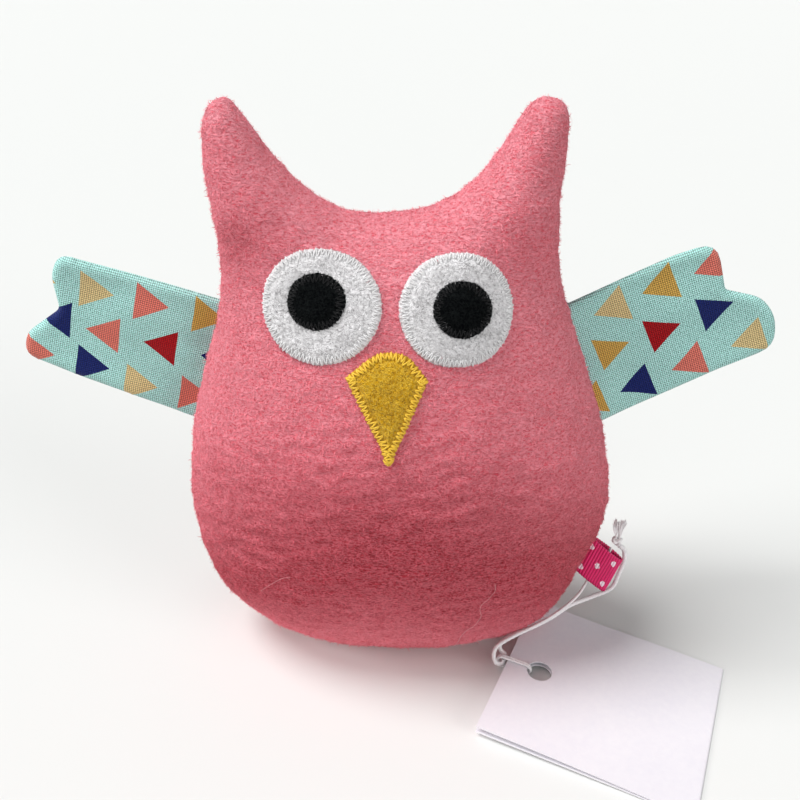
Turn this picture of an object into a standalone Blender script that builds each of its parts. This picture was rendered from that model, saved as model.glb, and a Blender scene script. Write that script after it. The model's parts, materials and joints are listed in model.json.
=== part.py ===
"""Plush owl: a stuffed wool body in two panels, felt eyes and beak, flat cotton wings,
a ribbon tab in the side seam and a folded card tag on a string.

Metres, +Z up. The owl faces -Y, and the origin is on the flat under the body.
Left and right are those of somebody who looks at the owl's face.
"""

import math

import bmesh
import bpy
from mathutils import Vector

# Driving dimensions of the body, in metres
BODY_HEIGHT = 0.1298
BODY_WIDTH = 0.1004
BELLY_DEPTH = 0.0272
BACK_DEPTH = 0.0252
LEAN = math.radians(3)
SEAM_SETBACK = 0.0020
PANEL_THICKNESS = 0.0011
SEAM_CREASE = 0.30
FORM_LEVELS = 1

# Clearances and cutters
FIT_GAP = 0.0003
CUTTER_SIZE = 0.4000

# Felt pieces. Places on the body are shares of half its width and of its height,
# and a pupil's shift is a share of the eye's radius
FELT_THICKNESS = 0.0010
EYE_RADIUS = 0.0114
PUPIL_RADIUS = 0.0057
LEFT_EYE_PLACE_SHARES = (-0.3227, 0.7126)
RIGHT_EYE_PLACE_SHARES = (0.2151, 0.7134)
LEFT_PUPIL_SHIFT_SHARES = (-0.044, 0.079)
RIGHT_PUPIL_SHIFT_SHARES = (0.061, 0.009)
BEAK_WIDTH = 0.0163
BEAK_HEIGHT = 0.0225
BEAK_PLACE_SHARES = (-0.0598, 0.5740)
BEAK_TIP_SHIFT_SHARE = 0.043
DISC_STEPS = 36
DISC_RINGS = 4
BEAK_CELLS = 8

# Wings
WING_LENGTH = 0.0395
WING_ROOT = 0.0300
WING_LAYER = 0.0006
HINGE_STANDOFF = 0.0026
ROOT_OVERHANG = 0.0008
LEFT_ROOT_PLACE_SHARES = (-0.9237, 0.4528)
RIGHT_ROOT_PLACE_SHARES = (0.9083, 0.4661)
LEFT_ROOT_TILT = math.radians(15)
RIGHT_ROOT_TILT = math.radians(22)
CORNER_STEPS = 4

# Ribbon tab
RIBBON_WIDTH = 0.0102
RIBBON_THICKNESS = 0.0004
RIBBON_REACH = 0.0107
RIBBON_OPENING = 0.0014
RIBBON_PLACE_SHARES = (0.9170, 0.1910)
RIBBON_SEAM_TILT = math.radians(18)
RIBBON_DROOP = math.radians(39)

# String, knot and hitch
STRING_DIAMETER = 0.0009
STRING_POINTS = 60
TUBE_BEVEL_LEVELS = 2
KNOT_AT = (0.0543, 0.0040, 0.0277)
KNOT_RADIUS = 0.0012
TAIL_LENGTH = 0.0068
TAIL_SPREAD = 0.0010
HITCH_WIDTH_FACTOR = 1.6
HITCH_STANDOFF = 0.0026
HITCH_POINTS = 24

# Tag
TAG_WIDTH = 0.0482
TAG_HEIGHT = 0.0450
CARD_THICKNESS = 0.0003
TAG_OPENING = 0.0006
TAG_HOLE_DIAMETER = 0.0060
TAG_HOLE_INSET = 0.0080
TAG_CORNER_AT = (0.0190, -0.0322)
TAG_TURN = math.radians(-24)

# Rings of the body from the base to the shoulders, as shares of the body's sizes:
# height, reach to the left, reach to the right, depth in front and depth behind
TORSO_ROW_SHARES = (
    (-0.002, 0.380, 0.440, 0.26, 0.34),
    (0.022, 0.585, 0.635, 0.45, 0.60),
    (0.070, 0.765, 0.805, 0.66, 0.78),
    (0.137, 0.899, 0.882, 0.84, 0.90),
    (0.217, 0.955, 0.940, 0.95, 0.98),
    (0.307, 0.974, 1.010, 1.01, 1.02),
    (0.390, 0.967, 0.990, 1.02, 1.02),
    (0.472, 0.940, 0.920, 0.98, 0.98),
    (0.554, 0.880, 0.845, 0.89, 0.90),
    (0.629, 0.806, 0.768, 0.78, 0.80),
    (0.697, 0.770, 0.686, 0.67, 0.70),
    (0.757, 0.767, 0.642, 0.55, 0.58),
)
COLUMNS = 12
BASE_RIDGE_SHARE = -0.0045

# The ring where the two ears part: height of each column and its depth, left to right
PARTING_HEIGHT_SHARES = (
    0.815, 0.820, 0.828, 0.838, 0.841, 0.807, 0.805, 0.807, 0.849, 0.848, 0.836, 0.826, 0.820,
)
PARTING_DEPTH_SHARES = (0, 0.25, 0.39, 0.44, 0.39, 0.33, 0.31, 0.33, 0.39, 0.44, 0.39, 0.25, 0)
PARTING_LEFT_SHARE = 0.785
PARTING_RIGHT_SHARE = 0.635
EAR_COLUMNS = 4
CROWN_HEIGHT_SHARES = (0.872, 0.830, 0.830, 0.850, 0.894)

# Rings of each ear, from the parting to the tip: the left seam's reach and height,
# the right seam's reach and height, and the depth
LEFT_EAR_SHARES = (
    (-0.805, 0.868, -0.521, 0.913, 0.33),
    (-0.820, 0.915, -0.596, 0.949, 0.27),
    (-0.806, 0.965, -0.671, 0.991, 0.20),
)
RIGHT_EAR_SHARES = (
    (0.340, 0.921, 0.633, 0.872, 0.33),
    (0.425, 0.975, 0.630, 0.922, 0.27),
    (0.462, 0.997, 0.636, 0.989, 0.20),
)
EAR_TIP_RISE_SHARE = 0.022

# Outlines of the wings: distance out from the hinge and height along it,
# as shares of the wing's length and root, with each corner's rounding
LEFT_WING_SHARES = (
    (0.641, 0.112, 0.05),
    (0.934, 0.167, 0.08),
    (0.942, 0.340, 0.06),
    (0.780, 0.597, 0.03),
    (0.853, 0.840, 0.085),
    (0.818, 1.007, 0.095),
    (0.557, 1.007, 0.05),
)
RIGHT_WING_SHARES = (
    (0.601, 0.132, 0.05),
    (0.966, 0.173, 0.095),
    (0.999, 0.410, 0.075),
    (0.951, 0.583, 0.065),
    (0.773, 0.733, 0.02),
    (0.791, 1.090, 0.12),
    (0.556, 1.100, 0.05),
)
TRIM_LIMIT_SHARE = 0.48

# Half of the beak's arched top: how far out and how far down each point is
BEAK_ARCH_DROP_SHARE = 0.26
BEAK_TIP_SHARE = 0.06

# Front half of the ribbon's loop, from the seam to the fold: reach and opening
RIBBON_LOOP_SHARES = (
    (0.00, 0.35),
    (0.22, 0.75),
    (0.55, 1.00),
    (0.82, 0.92),
    (0.97, 0.55),
    (1.02, 0.00),
)

# The string's route, from under the knot down outside the ribbon, round the hitch,
# and back up through the ribbon's loop
STRING_ROUTE = (
    (0.0551, 0.0045, 0.0260),
    (0.0567, 0.0048, 0.0243),
    (0.0571, 0.0045, 0.0212),
    (0.0562, 0.0039, 0.0176),
    (0.0549, 0.0037, 0.0129),
    (0.0502, 0.0028, 0.0107),
    (0.0441, -0.0006, 0.0107),
    (0.0392, -0.0034, 0.0091),
    (0.0348, -0.0058, 0.0083),
    (0.0304, -0.0074, 0.0074),
    (0.0277, -0.0079, 0.0059),
    (0.0264, -0.0079, 0.0040),
    (0.0266, -0.0081, 0.0024),
    (0.0276, -0.0091, 0.0019),
    (0.0275, -0.0105, 0.0019),
    (0.0266, -0.0122, 0.0019),
    (0.0253, -0.0123, 0.0021),
    (0.0246, -0.0114, 0.0034),
    (0.0250, -0.0108, 0.0056),
    (0.0268, -0.0103, 0.0073),
    (0.0298, -0.0093, 0.0086),
    (0.0343, -0.0073, 0.0096),
    (0.0387, -0.0048, 0.0105),
    (0.0432, -0.0018, 0.0120),
    (0.0464, 0.0010, 0.0134),
    (0.0484, 0.0028, 0.0160),
    (0.0502, 0.0031, 0.0192),
    (0.0520, 0.0033, 0.0226),
    (0.0531, 0.0037, 0.0259),
)

MATERIAL_LOOKS = {
    "pink_wool": ((0.75, 0.22, 0.25), 0.95),
    "white_felt": ((0.80, 0.78, 0.76), 0.95),
    "black_felt": ((0.012, 0.012, 0.014), 0.95),
    "mustard_felt": ((0.62, 0.37, 0.03), 0.95),
    "printed_cotton": ((0.37, 0.72, 0.62), 0.85),
    "ribbon": ((0.80, 0.02, 0.16), 0.60),
    "string": ((0.86, 0.84, 0.82), 0.85),
    "card": ((0.86, 0.84, 0.90), 0.60),
    "filling": ((0.90, 0.90, 0.88), 1.00),
}


def clear_scene():
    for obj in list(bpy.data.objects):
        bpy.data.objects.remove(obj, do_unlink=True)


def new_collection(name):
    collection = bpy.data.collections.new(name)
    bpy.context.scene.collection.children.link(collection)
    return collection


def new_material(name):
    colour, roughness = MATERIAL_LOOKS[name]
    material = bpy.data.materials.new(name)
    material.use_nodes = True
    shader = material.node_tree.nodes["Principled BSDF"]
    shader.inputs["Base Color"].default_value = (*colour, 1)
    shader.inputs["Roughness"].default_value = roughness
    shader.inputs["Metallic"].default_value = 0
    return material


def add_object(name, data, collection, parent=None, material=None):
    obj = bpy.data.objects.new(name, data)
    collection.objects.link(obj)
    obj.parent = parent
    if material:
        data.materials.append(material)
    return obj


def mesh_from(bm, name, smooth=True):
    bmesh.ops.recalc_face_normals(bm, faces=bm.faces)
    mesh = bpy.data.meshes.new(name)
    bm.to_mesh(mesh)
    bm.free()
    if smooth:
        mesh.shade_smooth()
    return mesh


def mesh_of_curve(obj, collection):
    """The same object as a mesh, its caps welded, with the curve removed."""
    bpy.context.view_layer.update()
    graph = bpy.context.evaluated_depsgraph_get()
    mesh = bpy.data.meshes.new_from_object(obj.evaluated_get(graph))
    bm = bmesh.new()
    bm.from_mesh(mesh)
    bmesh.ops.remove_doubles(bm, verts=bm.verts, dist=FIT_GAP / 100)
    bm.to_mesh(mesh)
    bm.free()
    name = obj.name
    place = obj.matrix_world.copy()
    bpy.data.objects.remove(obj, do_unlink=True)
    made = bpy.data.objects.new(name, mesh)
    collection.objects.link(made)
    made.matrix_world = place
    return made


def hide_as_guide(obj):
    obj.hide_render = True
    obj.display_type = "WIRE"


# The body's cage


def ring_of(bm, left, right, depth_front, depth_back, columns):
    """A closed ring: the left seam point, the front from left to right, the right seam point
    and the back from right to left. Left and right are points on the seam."""
    points = []
    for step in range(2 * columns):
        angle = math.pi * step / columns
        share = (1 - math.cos(angle)) / 2
        depth = depth_front if step <= columns else depth_back
        across = left.lerp(right, share)
        on_seam = step in (0, columns)
        points.append(Vector((across.x, 0 if on_seam else -depth * math.sin(angle), across.z)))
    return [bm.verts.new(point) for point in points]


def loft(bm, lower, upper):
    count = len(lower)
    for step in range(count):
        after = (step + 1) % count
        bm.faces.new((lower[step], lower[after], upper[after], upper[step]))


def cap(bm, ring, ridge):
    """Closes a ring over a ridge of seam points, which lies between its two seam points."""
    half = len(ring) // 2
    count = len(ring)
    bm.faces.new((ring[0], ring[1], ridge[0], ring[count - 1]))
    bm.faces.new((ring[half], ring[half + 1], ridge[-1], ring[half - 1]))
    for step in range(1, half - 1):
        bm.faces.new((ring[step], ring[step + 1], ridge[step], ridge[step - 1]))
        bm.faces.new((ring[count - step], ridge[step - 1], ridge[step], ring[count - step - 1]))


def height_at(share):
    return share * BODY_HEIGHT


def reach_at(share):
    return share * BODY_WIDTH / 2


def place_at(shares):
    """A place in the seam's plane, from shares of half the body's width and of its height."""
    return Vector((reach_at(shares[0]), 0, height_at(shares[1])))


def torso_rings(bm):
    rings = []
    for height, left, right, front, back in TORSO_ROW_SHARES:
        level = height_at(height)
        rings.append(
            ring_of(
                bm,
                Vector((reach_at(-left), 0, level)),
                Vector((reach_at(right), 0, level)),
                front * BELLY_DEPTH,
                back * BACK_DEPTH,
                COLUMNS,
            )
        )
    return rings


def parting_ring(bm):
    left = Vector((reach_at(-PARTING_LEFT_SHARE), 0, 0))
    right = Vector((reach_at(PARTING_RIGHT_SHARE), 0, 0))
    ring = ring_of(bm, left, right, BELLY_DEPTH, BACK_DEPTH, COLUMNS)
    for step, vert in enumerate(ring):
        column = step if step <= COLUMNS else 2 * COLUMNS - step
        depth = -BELLY_DEPTH if step <= COLUMNS else BACK_DEPTH
        vert.co.y = PARTING_DEPTH_SHARES[column] * depth
        vert.co.z = height_at(PARTING_HEIGHT_SHARES[column])
    return ring


def base_ridge(bm, ring):
    ridge = []
    for column in range(1, COLUMNS):
        ridge.append(bm.verts.new((ring[column].co.x, 0, height_at(BASE_RIDGE_SHARE))))
    return ridge


def add_crown(bm, parting):
    """The saddle between the ears. Returns its row of seam points."""
    first = EAR_COLUMNS
    crown = []
    for step, share in enumerate(CROWN_HEIGHT_SHARES):
        x = parting[first + step].co.x
        crown.append(bm.verts.new((x, 0, height_at(share))))
    for step in range(len(crown) - 1):
        front = first + step
        back = 2 * COLUMNS - front
        bm.faces.new((parting[front], parting[front + 1], crown[step + 1], crown[step]))
        bm.faces.new((crown[step], crown[step + 1], parting[back - 1], parting[back]))
    return crown


def add_ear(bm, root, rows):
    """Lofts an ear up from its root ring and closes it over a rounded tip."""
    ring = root
    half = len(root) // 2
    for left_x, left_z, right_x, right_z, depth in rows:
        left = place_at((left_x, left_z))
        right = place_at((right_x, right_z))
        upper = ring_of(bm, left, right, depth * BELLY_DEPTH, depth * BACK_DEPTH, half)
        loft(bm, ring, upper)
        ring = upper
    rise = height_at(EAR_TIP_RISE_SHARE)
    ridge = []
    for step in range(1, half):
        share = step / half
        point = ring[0].co.lerp(ring[half].co, share)
        point.z += rise * math.sin(math.pi * share) ** 0.5
        ridge.append(bm.verts.new(point))
    cap(bm, ring, ridge)


def body_cage():
    bm = bmesh.new()
    rings = torso_rings(bm)
    for vert in rings[0]:
        vert.co.z += vert.co.y * math.tan(LEAN)
    rings.append(parting_ring(bm))
    for lower, upper in zip(rings, rings[1:]):
        loft(bm, lower, upper)
    cap(bm, rings[0], base_ridge(bm, rings[0]))
    parting = rings[-1]
    crown = add_crown(bm, parting)
    inner = EAR_COLUMNS
    outer = COLUMNS - EAR_COLUMNS
    add_ear(
        bm,
        parting[: inner + 1] + [crown[0]] + parting[2 * COLUMNS - inner :],
        LEFT_EAR_SHARES,
    )
    add_ear(
        bm,
        [crown[-1]] + parting[outer : COLUMNS + EAR_COLUMNS + 1],
        RIGHT_EAR_SHARES,
    )
    crease = bm.edges.layers.float.new("crease_edge")
    for edge in bm.edges:
        if all(vert.co.y == 0 for vert in edge.verts):
            edge[crease] = SEAM_CREASE
    return mesh_from(bm, "body_cage")


def add_subdivision(obj):
    modifier = obj.modifiers.new("form", "SUBSURF")
    modifier.levels = FORM_LEVELS
    modifier.render_levels = FORM_LEVELS


def add_cut(obj, cutter):
    modifier = obj.modifiers.new(cutter.name, "BOOLEAN")
    modifier.operation = "DIFFERENCE"
    modifier.solver = "EXACT"
    modifier.object = cutter


def box_cutter(name, location, cutters, parent=None):
    bm = bmesh.new()
    bmesh.ops.create_cube(bm, size=CUTTER_SIZE)
    obj = add_object(name, mesh_from(bm, name, smooth=False), cutters, parent)
    obj.location = location
    hide_as_guide(obj)
    return obj


def add_panel(name, cage, side_cutter, floor_cutter, parts, lean, material):
    """One side of the cover: the hollow form, cut off at the seam and flat at the base."""
    obj = add_object(name, cage.copy(), parts, lean, material)
    add_subdivision(obj)
    shell = obj.modifiers.new("cloth", "SOLIDIFY")
    shell.thickness = PANEL_THICKNESS
    shell.offset = -1
    add_cut(obj, floor_cutter)
    add_cut(obj, side_cutter)
    return obj


def add_stuffing(cage, parts, lean, material):
    obj = add_object("stuffing", cage.copy(), parts, lean, material)
    add_subdivision(obj)
    inset = obj.modifiers.new("inset", "DISPLACE")
    inset.direction = "NORMAL"
    inset.mid_level = 0
    inset.strength = -(PANEL_THICKNESS + FIT_GAP)
    return obj


# Felt pieces on the face


def seat_on_face(obj, at, form):
    """Puts a flat piece in front of the body, its -Y along the body's own slope there.
    The place is a point in the seam's plane."""
    bpy.context.view_layer.update()
    graph = bpy.context.evaluated_depsgraph_get()
    start = Vector((at.x, -2 * BELLY_DEPTH, at.z))
    _, seat, normal, _ = form.evaluated_get(graph).ray_cast(start, Vector((0, 1, 0)))
    obj.location = seat + normal * BELLY_DEPTH
    obj.rotation_euler = (-normal).to_track_quat("Y", "Z").to_euler()


def lay_on_body(obj, form, height):
    """Drops a flat piece onto the body along its +Y and gives it its thickness outwards."""
    drop = obj.modifiers.new("drop", "SHRINKWRAP")
    drop.target = form
    drop.wrap_method = "PROJECT"
    drop.wrap_mode = "ABOVE_SURFACE"
    drop.use_project_y = True
    drop.use_positive_direction = True
    drop.use_negative_direction = False
    drop.offset = height
    felt = obj.modifiers.new("felt", "SOLIDIFY")
    felt.thickness = FELT_THICKNESS
    felt.offset = 1


def add_disc(name, centre, radius, height, form, parts, lean, material):
    bm = bmesh.new()
    spoke = [bm.verts.new((radius * ring / DISC_RINGS, 0, 0)) for ring in range(DISC_RINGS + 1)]
    for inner, outer in zip(spoke, spoke[1:]):
        bm.edges.new((inner, outer))
    mesh = bpy.data.meshes.new(name)
    bm.to_mesh(mesh)
    bm.free()
    obj = add_object(name, mesh, parts, lean, material)
    seat_on_face(obj, centre, form)
    spin = obj.modifiers.new("round", "SCREW")
    spin.axis = "Y"
    spin.angle = math.tau
    spin.steps = DISC_STEPS
    spin.render_steps = DISC_STEPS
    spin.use_merge_vertices = True
    spin.merge_threshold = FIT_GAP / 30
    spin.use_smooth_shade = True
    spin.use_normal_flip = True
    lay_on_body(obj, form, height)
    return obj


def add_beak(form, parts, lean, material):
    """A kite: straight sides from an arched top down to a narrow tip."""
    bm = bmesh.new()
    bmesh.ops.create_grid(bm, x_segments=BEAK_CELLS, y_segments=BEAK_CELLS, size=1)
    for vert in bm.verts:
        across = vert.co.x
        down = (1 - vert.co.y) / 2
        arch = -BEAK_ARCH_DROP_SHARE * BEAK_HEIGHT * across**2
        top = Vector((across * BEAK_WIDTH / 2, 0, BEAK_HEIGHT / 2 + arch))
        tip = Vector((across * BEAK_TIP_SHARE * BEAK_WIDTH / 2, 0, -BEAK_HEIGHT / 2))
        tip.x += BEAK_TIP_SHIFT_SHARE * BEAK_WIDTH
        vert.co = top.lerp(tip, down)
    obj = add_object("beak", mesh_from(bm, "beak"), parts, lean, material)
    seat_on_face(obj, place_at(BEAK_PLACE_SHARES), form)
    for polygon in obj.data.polygons[:1]:
        if polygon.normal.y > 0:
            obj.data.flip_normals()
    lay_on_body(obj, form, FIT_GAP)
    return obj


def add_face(form, parts, lean, materials):
    first = FIT_GAP
    second = 2 * FIT_GAP + FELT_THICKNESS
    for side, shares, shift in (
        ("left", LEFT_EYE_PLACE_SHARES, LEFT_PUPIL_SHIFT_SHARES),
        ("right", RIGHT_EYE_PLACE_SHARES, RIGHT_PUPIL_SHIFT_SHARES),
    ):
        centre = place_at(shares)
        add_disc(
            f"{side}_eye", centre, EYE_RADIUS, first, form, parts, lean, materials["white_felt"]
        )
        pupil_centre = centre + Vector((shift[0], 0, shift[1])) * EYE_RADIUS
        add_disc(
            f"{side}_pupil",
            pupil_centre,
            PUPIL_RADIUS,
            second,
            form,
            parts,
            lean,
            materials["black_felt"],
        )
    add_beak(form, parts, lean, materials["mustard_felt"])


# Wings


def rounded_outline(corners):
    """Points along a polygon whose corners are rounded off. Each corner is a point and a trim."""
    points = []
    count = len(corners)
    for step, (corner, trim) in enumerate(corners):
        before = corners[step - 1][0]
        after = corners[(step + 1) % count][0]
        if trim == 0:
            points.append(corner)
            continue
        room = min((before - corner).length, (after - corner).length) * TRIM_LIMIT_SHARE
        start = corner + (before - corner).normalized() * min(trim, room)
        end = corner + (after - corner).normalized() * min(trim, room)
        for part in range(CORNER_STEPS + 1):
            share = part / CORNER_STEPS
            points.append(start.lerp(corner, share).lerp(corner.lerp(end, share), share))
    return points


def wing_outline(shares):
    corners = [(Vector((-ROOT_OVERHANG, 0)), 0)]
    for out, along, trim in shares:
        corners.append((Vector((out * WING_LENGTH, along * WING_ROOT)), trim * WING_LENGTH))
    corners.append((Vector((-ROOT_OVERHANG, WING_ROOT)), 0))
    return rounded_outline(corners)


def flat_curve(name, points, thickness):
    curve = bpy.data.curves.new(name, "CURVE")
    curve.dimensions = "2D"
    curve.fill_mode = "BOTH"
    curve.extrude = thickness / 2
    spline = curve.splines.new("POLY")
    spline.points.add(len(points) - 1)
    for target, point in zip(spline.points, points):
        target.co = (point.x, point.y, 0, 1)
    spline.use_cyclic_u = True
    return curve


def add_wing(side, shares, root, tilt, parts, lean, material):
    """Two layers on an empty whose origin is on the hinge, the wing's Y up along the root."""
    sign = -1 if side == "left" else 1
    hinge = add_object(f"{side}_wing_hinge", None, parts, lean)
    standoff = Vector((sign * math.cos(tilt), 0, math.sin(tilt))) * HINGE_STANDOFF
    hinge.location = place_at(root) + standoff
    hinge.rotation_euler = (math.pi / 2, -tilt, math.pi if side == "left" else 0)
    outline = wing_outline(shares)
    shift = (WING_LAYER + FIT_GAP) / 2
    for layer, towards in (("front", sign), ("back", -sign)):
        name = f"{side}_wing_{layer}"
        obj = add_object(name, flat_curve(name, outline, WING_LAYER), parts, hinge, material)
        obj.location.z = towards * shift


# Ribbon tab


def add_ribbon(parts, lean, material):
    """A strip folded back on itself, its ends at the seam and its edges along the seam."""
    along = Vector((math.sin(RIBBON_SEAM_TILT), 0, math.cos(RIBBON_SEAM_TILT)))
    out = Vector((math.cos(RIBBON_DROOP), 0, -math.sin(RIBBON_DROOP)))
    loop = [(reach, -opening) for reach, opening in RIBBON_LOOP_SHARES]
    loop += [(reach, -opening) for reach, opening in reversed(loop[:-1])]
    bm = bmesh.new()
    rows = []
    for reach, opening in loop:
        middle = out * reach * RIBBON_REACH + Vector((0, opening * RIBBON_OPENING, 0))
        low = bm.verts.new(middle - along * RIBBON_WIDTH / 2)
        high = bm.verts.new(middle + along * RIBBON_WIDTH / 2)
        rows.append((low, high))
    for (low, high), (next_low, next_high) in zip(rows, rows[1:]):
        bm.faces.new((low, next_low, next_high, high))
    obj = add_object("ribbon_tab", mesh_from(bm, "ribbon_tab"), parts, lean, material)
    obj.location = place_at(RIBBON_PLACE_SHARES)
    woven = obj.modifiers.new("woven", "SOLIDIFY")
    woven.thickness = RIBBON_THICKNESS
    woven.offset = 0
    woven.use_even_offset = True
    return obj


# String, knot, hitch and tag


def smooth_points(route, count):
    """Points evenly spread along a Catmull-Rom curve through the route."""
    knots = [Vector(point) for point in route]
    knots = [2 * knots[0] - knots[1], *knots, 2 * knots[-1] - knots[-2]]
    dense = []
    steps = 12
    for before, start, end, after in zip(knots, knots[1:], knots[2:], knots[3:]):
        for part in range(steps):
            t = part / steps
            dense.append(
                0.5
                * (
                    2 * start
                    + (end - before) * t
                    + (2 * before - 5 * start + 4 * end - after) * t**2
                    + (3 * start - before - 3 * end + after) * t**3
                )
            )
    dense.append(knots[-2])
    lengths = [0.0]
    for first, second in zip(dense, dense[1:]):
        lengths.append(lengths[-1] + (second - first).length)
    points = []
    place = 0
    for step in range(count):
        wanted = lengths[-1] * step / (count - 1)
        while place < len(dense) - 2 and lengths[place + 1] < wanted:
            place += 1
        stretch = lengths[place + 1] - lengths[place]
        points.append(dense[place].lerp(dense[place + 1], (wanted - lengths[place]) / stretch))
    return points


def tube_curve(name, points, diameter, cyclic=False):
    curve = bpy.data.curves.new(name, "CURVE")
    curve.dimensions = "3D"
    curve.bevel_depth = diameter / 2
    curve.bevel_resolution = TUBE_BEVEL_LEVELS
    curve.use_fill_caps = not cyclic
    spline = curve.splines.new("POLY")
    spline.points.add(len(points) - 1)
    for target, point in zip(spline.points, points):
        target.co = (*point, 1)
    spline.use_cyclic_u = cyclic
    return curve


def add_knot(parts, cutters, material):
    """A rounded knot with two tails that stand up from it."""
    centre = Vector(KNOT_AT)
    bm = bmesh.new()
    bmesh.ops.create_uvsphere(bm, u_segments=16, v_segments=10, radius=KNOT_RADIUS)
    knot = add_object("string_knot", mesh_from(bm, "string_knot"), parts, None, material)
    knot.location = centre
    for name, side in (("left_tail", -1), ("right_tail", 1)):
        top = centre + Vector((side * TAIL_SPREAD, 0, TAIL_LENGTH))
        start = centre + Vector((side * KNOT_RADIUS / 4, 0, KNOT_RADIUS / 2))
        curve = tube_curve(name, [start, start.lerp(top, 0.5), top], STRING_DIAMETER)
        tail = mesh_of_curve(add_object(name, curve, cutters), cutters)
        hide_as_guide(tail)
        join = knot.modifiers.new(name, "BOOLEAN")
        join.operation = "UNION"
        join.solver = "EXACT"
        join.object = tail


def tag_empty(parts):
    """The tag's corner: X runs along the string's side to the fold, Y up the hole's side."""
    empty = add_object("tag_corner", None, parts)
    empty.location = (TAG_CORNER_AT[0], TAG_CORNER_AT[1], 0)
    empty.rotation_euler.z = TAG_TURN
    return empty


def hitch_height():
    """Height of the string's loop round the card, between centre lines."""
    card = 2 * CARD_THICKNESS + TAG_OPENING
    return card + 2 * FIT_GAP + STRING_DIAMETER


def add_hitch(parts, corner, material):
    """The string's loop round the card's margin and through its hole."""
    inner = TAG_HOLE_INSET - TAG_HOLE_DIAMETER / 2 + FIT_GAP + STRING_DIAMETER / 2
    outer = -HITCH_STANDOFF
    radius = hitch_height() / 2
    middle = radius + STRING_DIAMETER / 2
    straight = (inner - outer) / 2 - radius
    points = []
    for step in range(HITCH_POINTS):
        angle = math.tau * (step + 0.5) / HITCH_POINTS
        side = math.copysign(straight, math.cos(angle))
        x = (inner + outer) / 2 + side + radius * math.cos(angle)
        points.append(Vector((x, 0, middle + radius * math.sin(angle))))
    obj = add_object(
        "string_hitch",
        tube_curve("string_hitch", points, STRING_DIAMETER, cyclic=True),
        parts,
        corner,
        material,
    )
    obj.location.y = TAG_HEIGHT / 2
    obj.scale.y = HITCH_WIDTH_FACTOR


def add_tag(parts, cutters, corner, material):
    """One card folded at the far side, open at the side with the hole, resting on the string."""
    lift = STRING_DIAMETER + FIT_GAP
    half = CARD_THICKNESS / 2
    fold_radius = CARD_THICKNESS
    fold_x = TAG_WIDTH - fold_radius - half
    fold_z = fold_radius + half
    profile = [(0, lift + half)]
    for step in range(5):
        angle = -math.pi / 2 + math.pi * step / 4
        profile.append((fold_x + fold_radius * math.cos(angle), fold_z + fold_radius * math.sin(angle)))
    profile.append((0, lift + TAG_OPENING + CARD_THICKNESS + half))
    bm = bmesh.new()
    rows = [(bm.verts.new((x, 0, z)), bm.verts.new((x, TAG_HEIGHT, z))) for x, z in profile]
    for (near, far), (next_near, next_far) in zip(rows, rows[1:]):
        bm.faces.new((near, next_near, next_far, far))
    tag = add_object("swing_tag", mesh_from(bm, "swing_tag", smooth=False), parts, corner, material)
    card = tag.modifiers.new("card", "SOLIDIFY")
    card.thickness = CARD_THICKNESS
    card.offset = 0
    card.use_even_offset = True
    bm = bmesh.new()
    bmesh.ops.create_cone(
        bm,
        cap_ends=True,
        segments=32,
        radius1=TAG_HOLE_DIAMETER / 2,
        radius2=TAG_HOLE_DIAMETER / 2,
        depth=TAG_HEIGHT,
    )
    punch = add_object("tag_punch", mesh_from(bm, "tag_punch"), cutters, corner)
    punch.location = (TAG_HOLE_INSET, TAG_HEIGHT / 2, 0)
    hide_as_guide(punch)
    add_cut(tag, punch)


def main():
    clear_scene()
    parts = new_collection("plush_owl")
    cutters = new_collection("cutters")
    materials = {name: new_material(name) for name in MATERIAL_LOOKS}

    lean = add_object("owl_lean", None, parts)
    lean.location.y = SEAM_SETBACK
    lean.rotation_euler.x = -LEAN

    cage = body_cage()
    form = add_object("body_form", cage, cutters, lean)
    add_subdivision(form)
    hide_as_guide(form)
    reach = (CUTTER_SIZE - FIT_GAP) / 2
    behind_seam = box_cutter("behind_seam", (0, reach, 0), cutters, lean)
    before_seam = box_cutter("before_seam", (0, -reach, 0), cutters, lean)
    below_base = box_cutter("below_base", (0, 0, -CUTTER_SIZE / 2), cutters)
    wool = materials["pink_wool"]
    add_panel("front_panel", cage, behind_seam, below_base, parts, lean, wool)
    add_panel("back_panel", cage, before_seam, below_base, parts, lean, wool)
    add_stuffing(cage, parts, lean, materials["filling"])
    add_face(form, parts, lean, materials)

    cotton = materials["printed_cotton"]
    left_root = LEFT_ROOT_PLACE_SHARES
    right_root = RIGHT_ROOT_PLACE_SHARES
    add_wing("left", LEFT_WING_SHARES, left_root, LEFT_ROOT_TILT, parts, lean, cotton)
    add_wing("right", RIGHT_WING_SHARES, right_root, RIGHT_ROOT_TILT, parts, lean, cotton)
    add_ribbon(parts, lean, materials["ribbon"])

    string = materials["string"]
    route = smooth_points(STRING_ROUTE, STRING_POINTS)
    add_object(
        "tag_string", tube_curve("tag_string", route, STRING_DIAMETER), parts, None, string
    )
    add_knot(parts, cutters, string)
    corner = tag_empty(parts)
    add_hitch(parts, corner, string)
    add_tag(parts, cutters, corner, materials["card"])


main()
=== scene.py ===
"""Plush owl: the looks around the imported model.

Metres, +Z up. The owl faces -Y, and left and right are those of somebody who looks at its face.
"""

import json
import math

import bmesh
import bpy
import numpy as np
from mathutils import Matrix, Vector, geometry, noise
from mathutils.bvhtree import BVHTree
from mathutils.kdtree import KDTree


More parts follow.
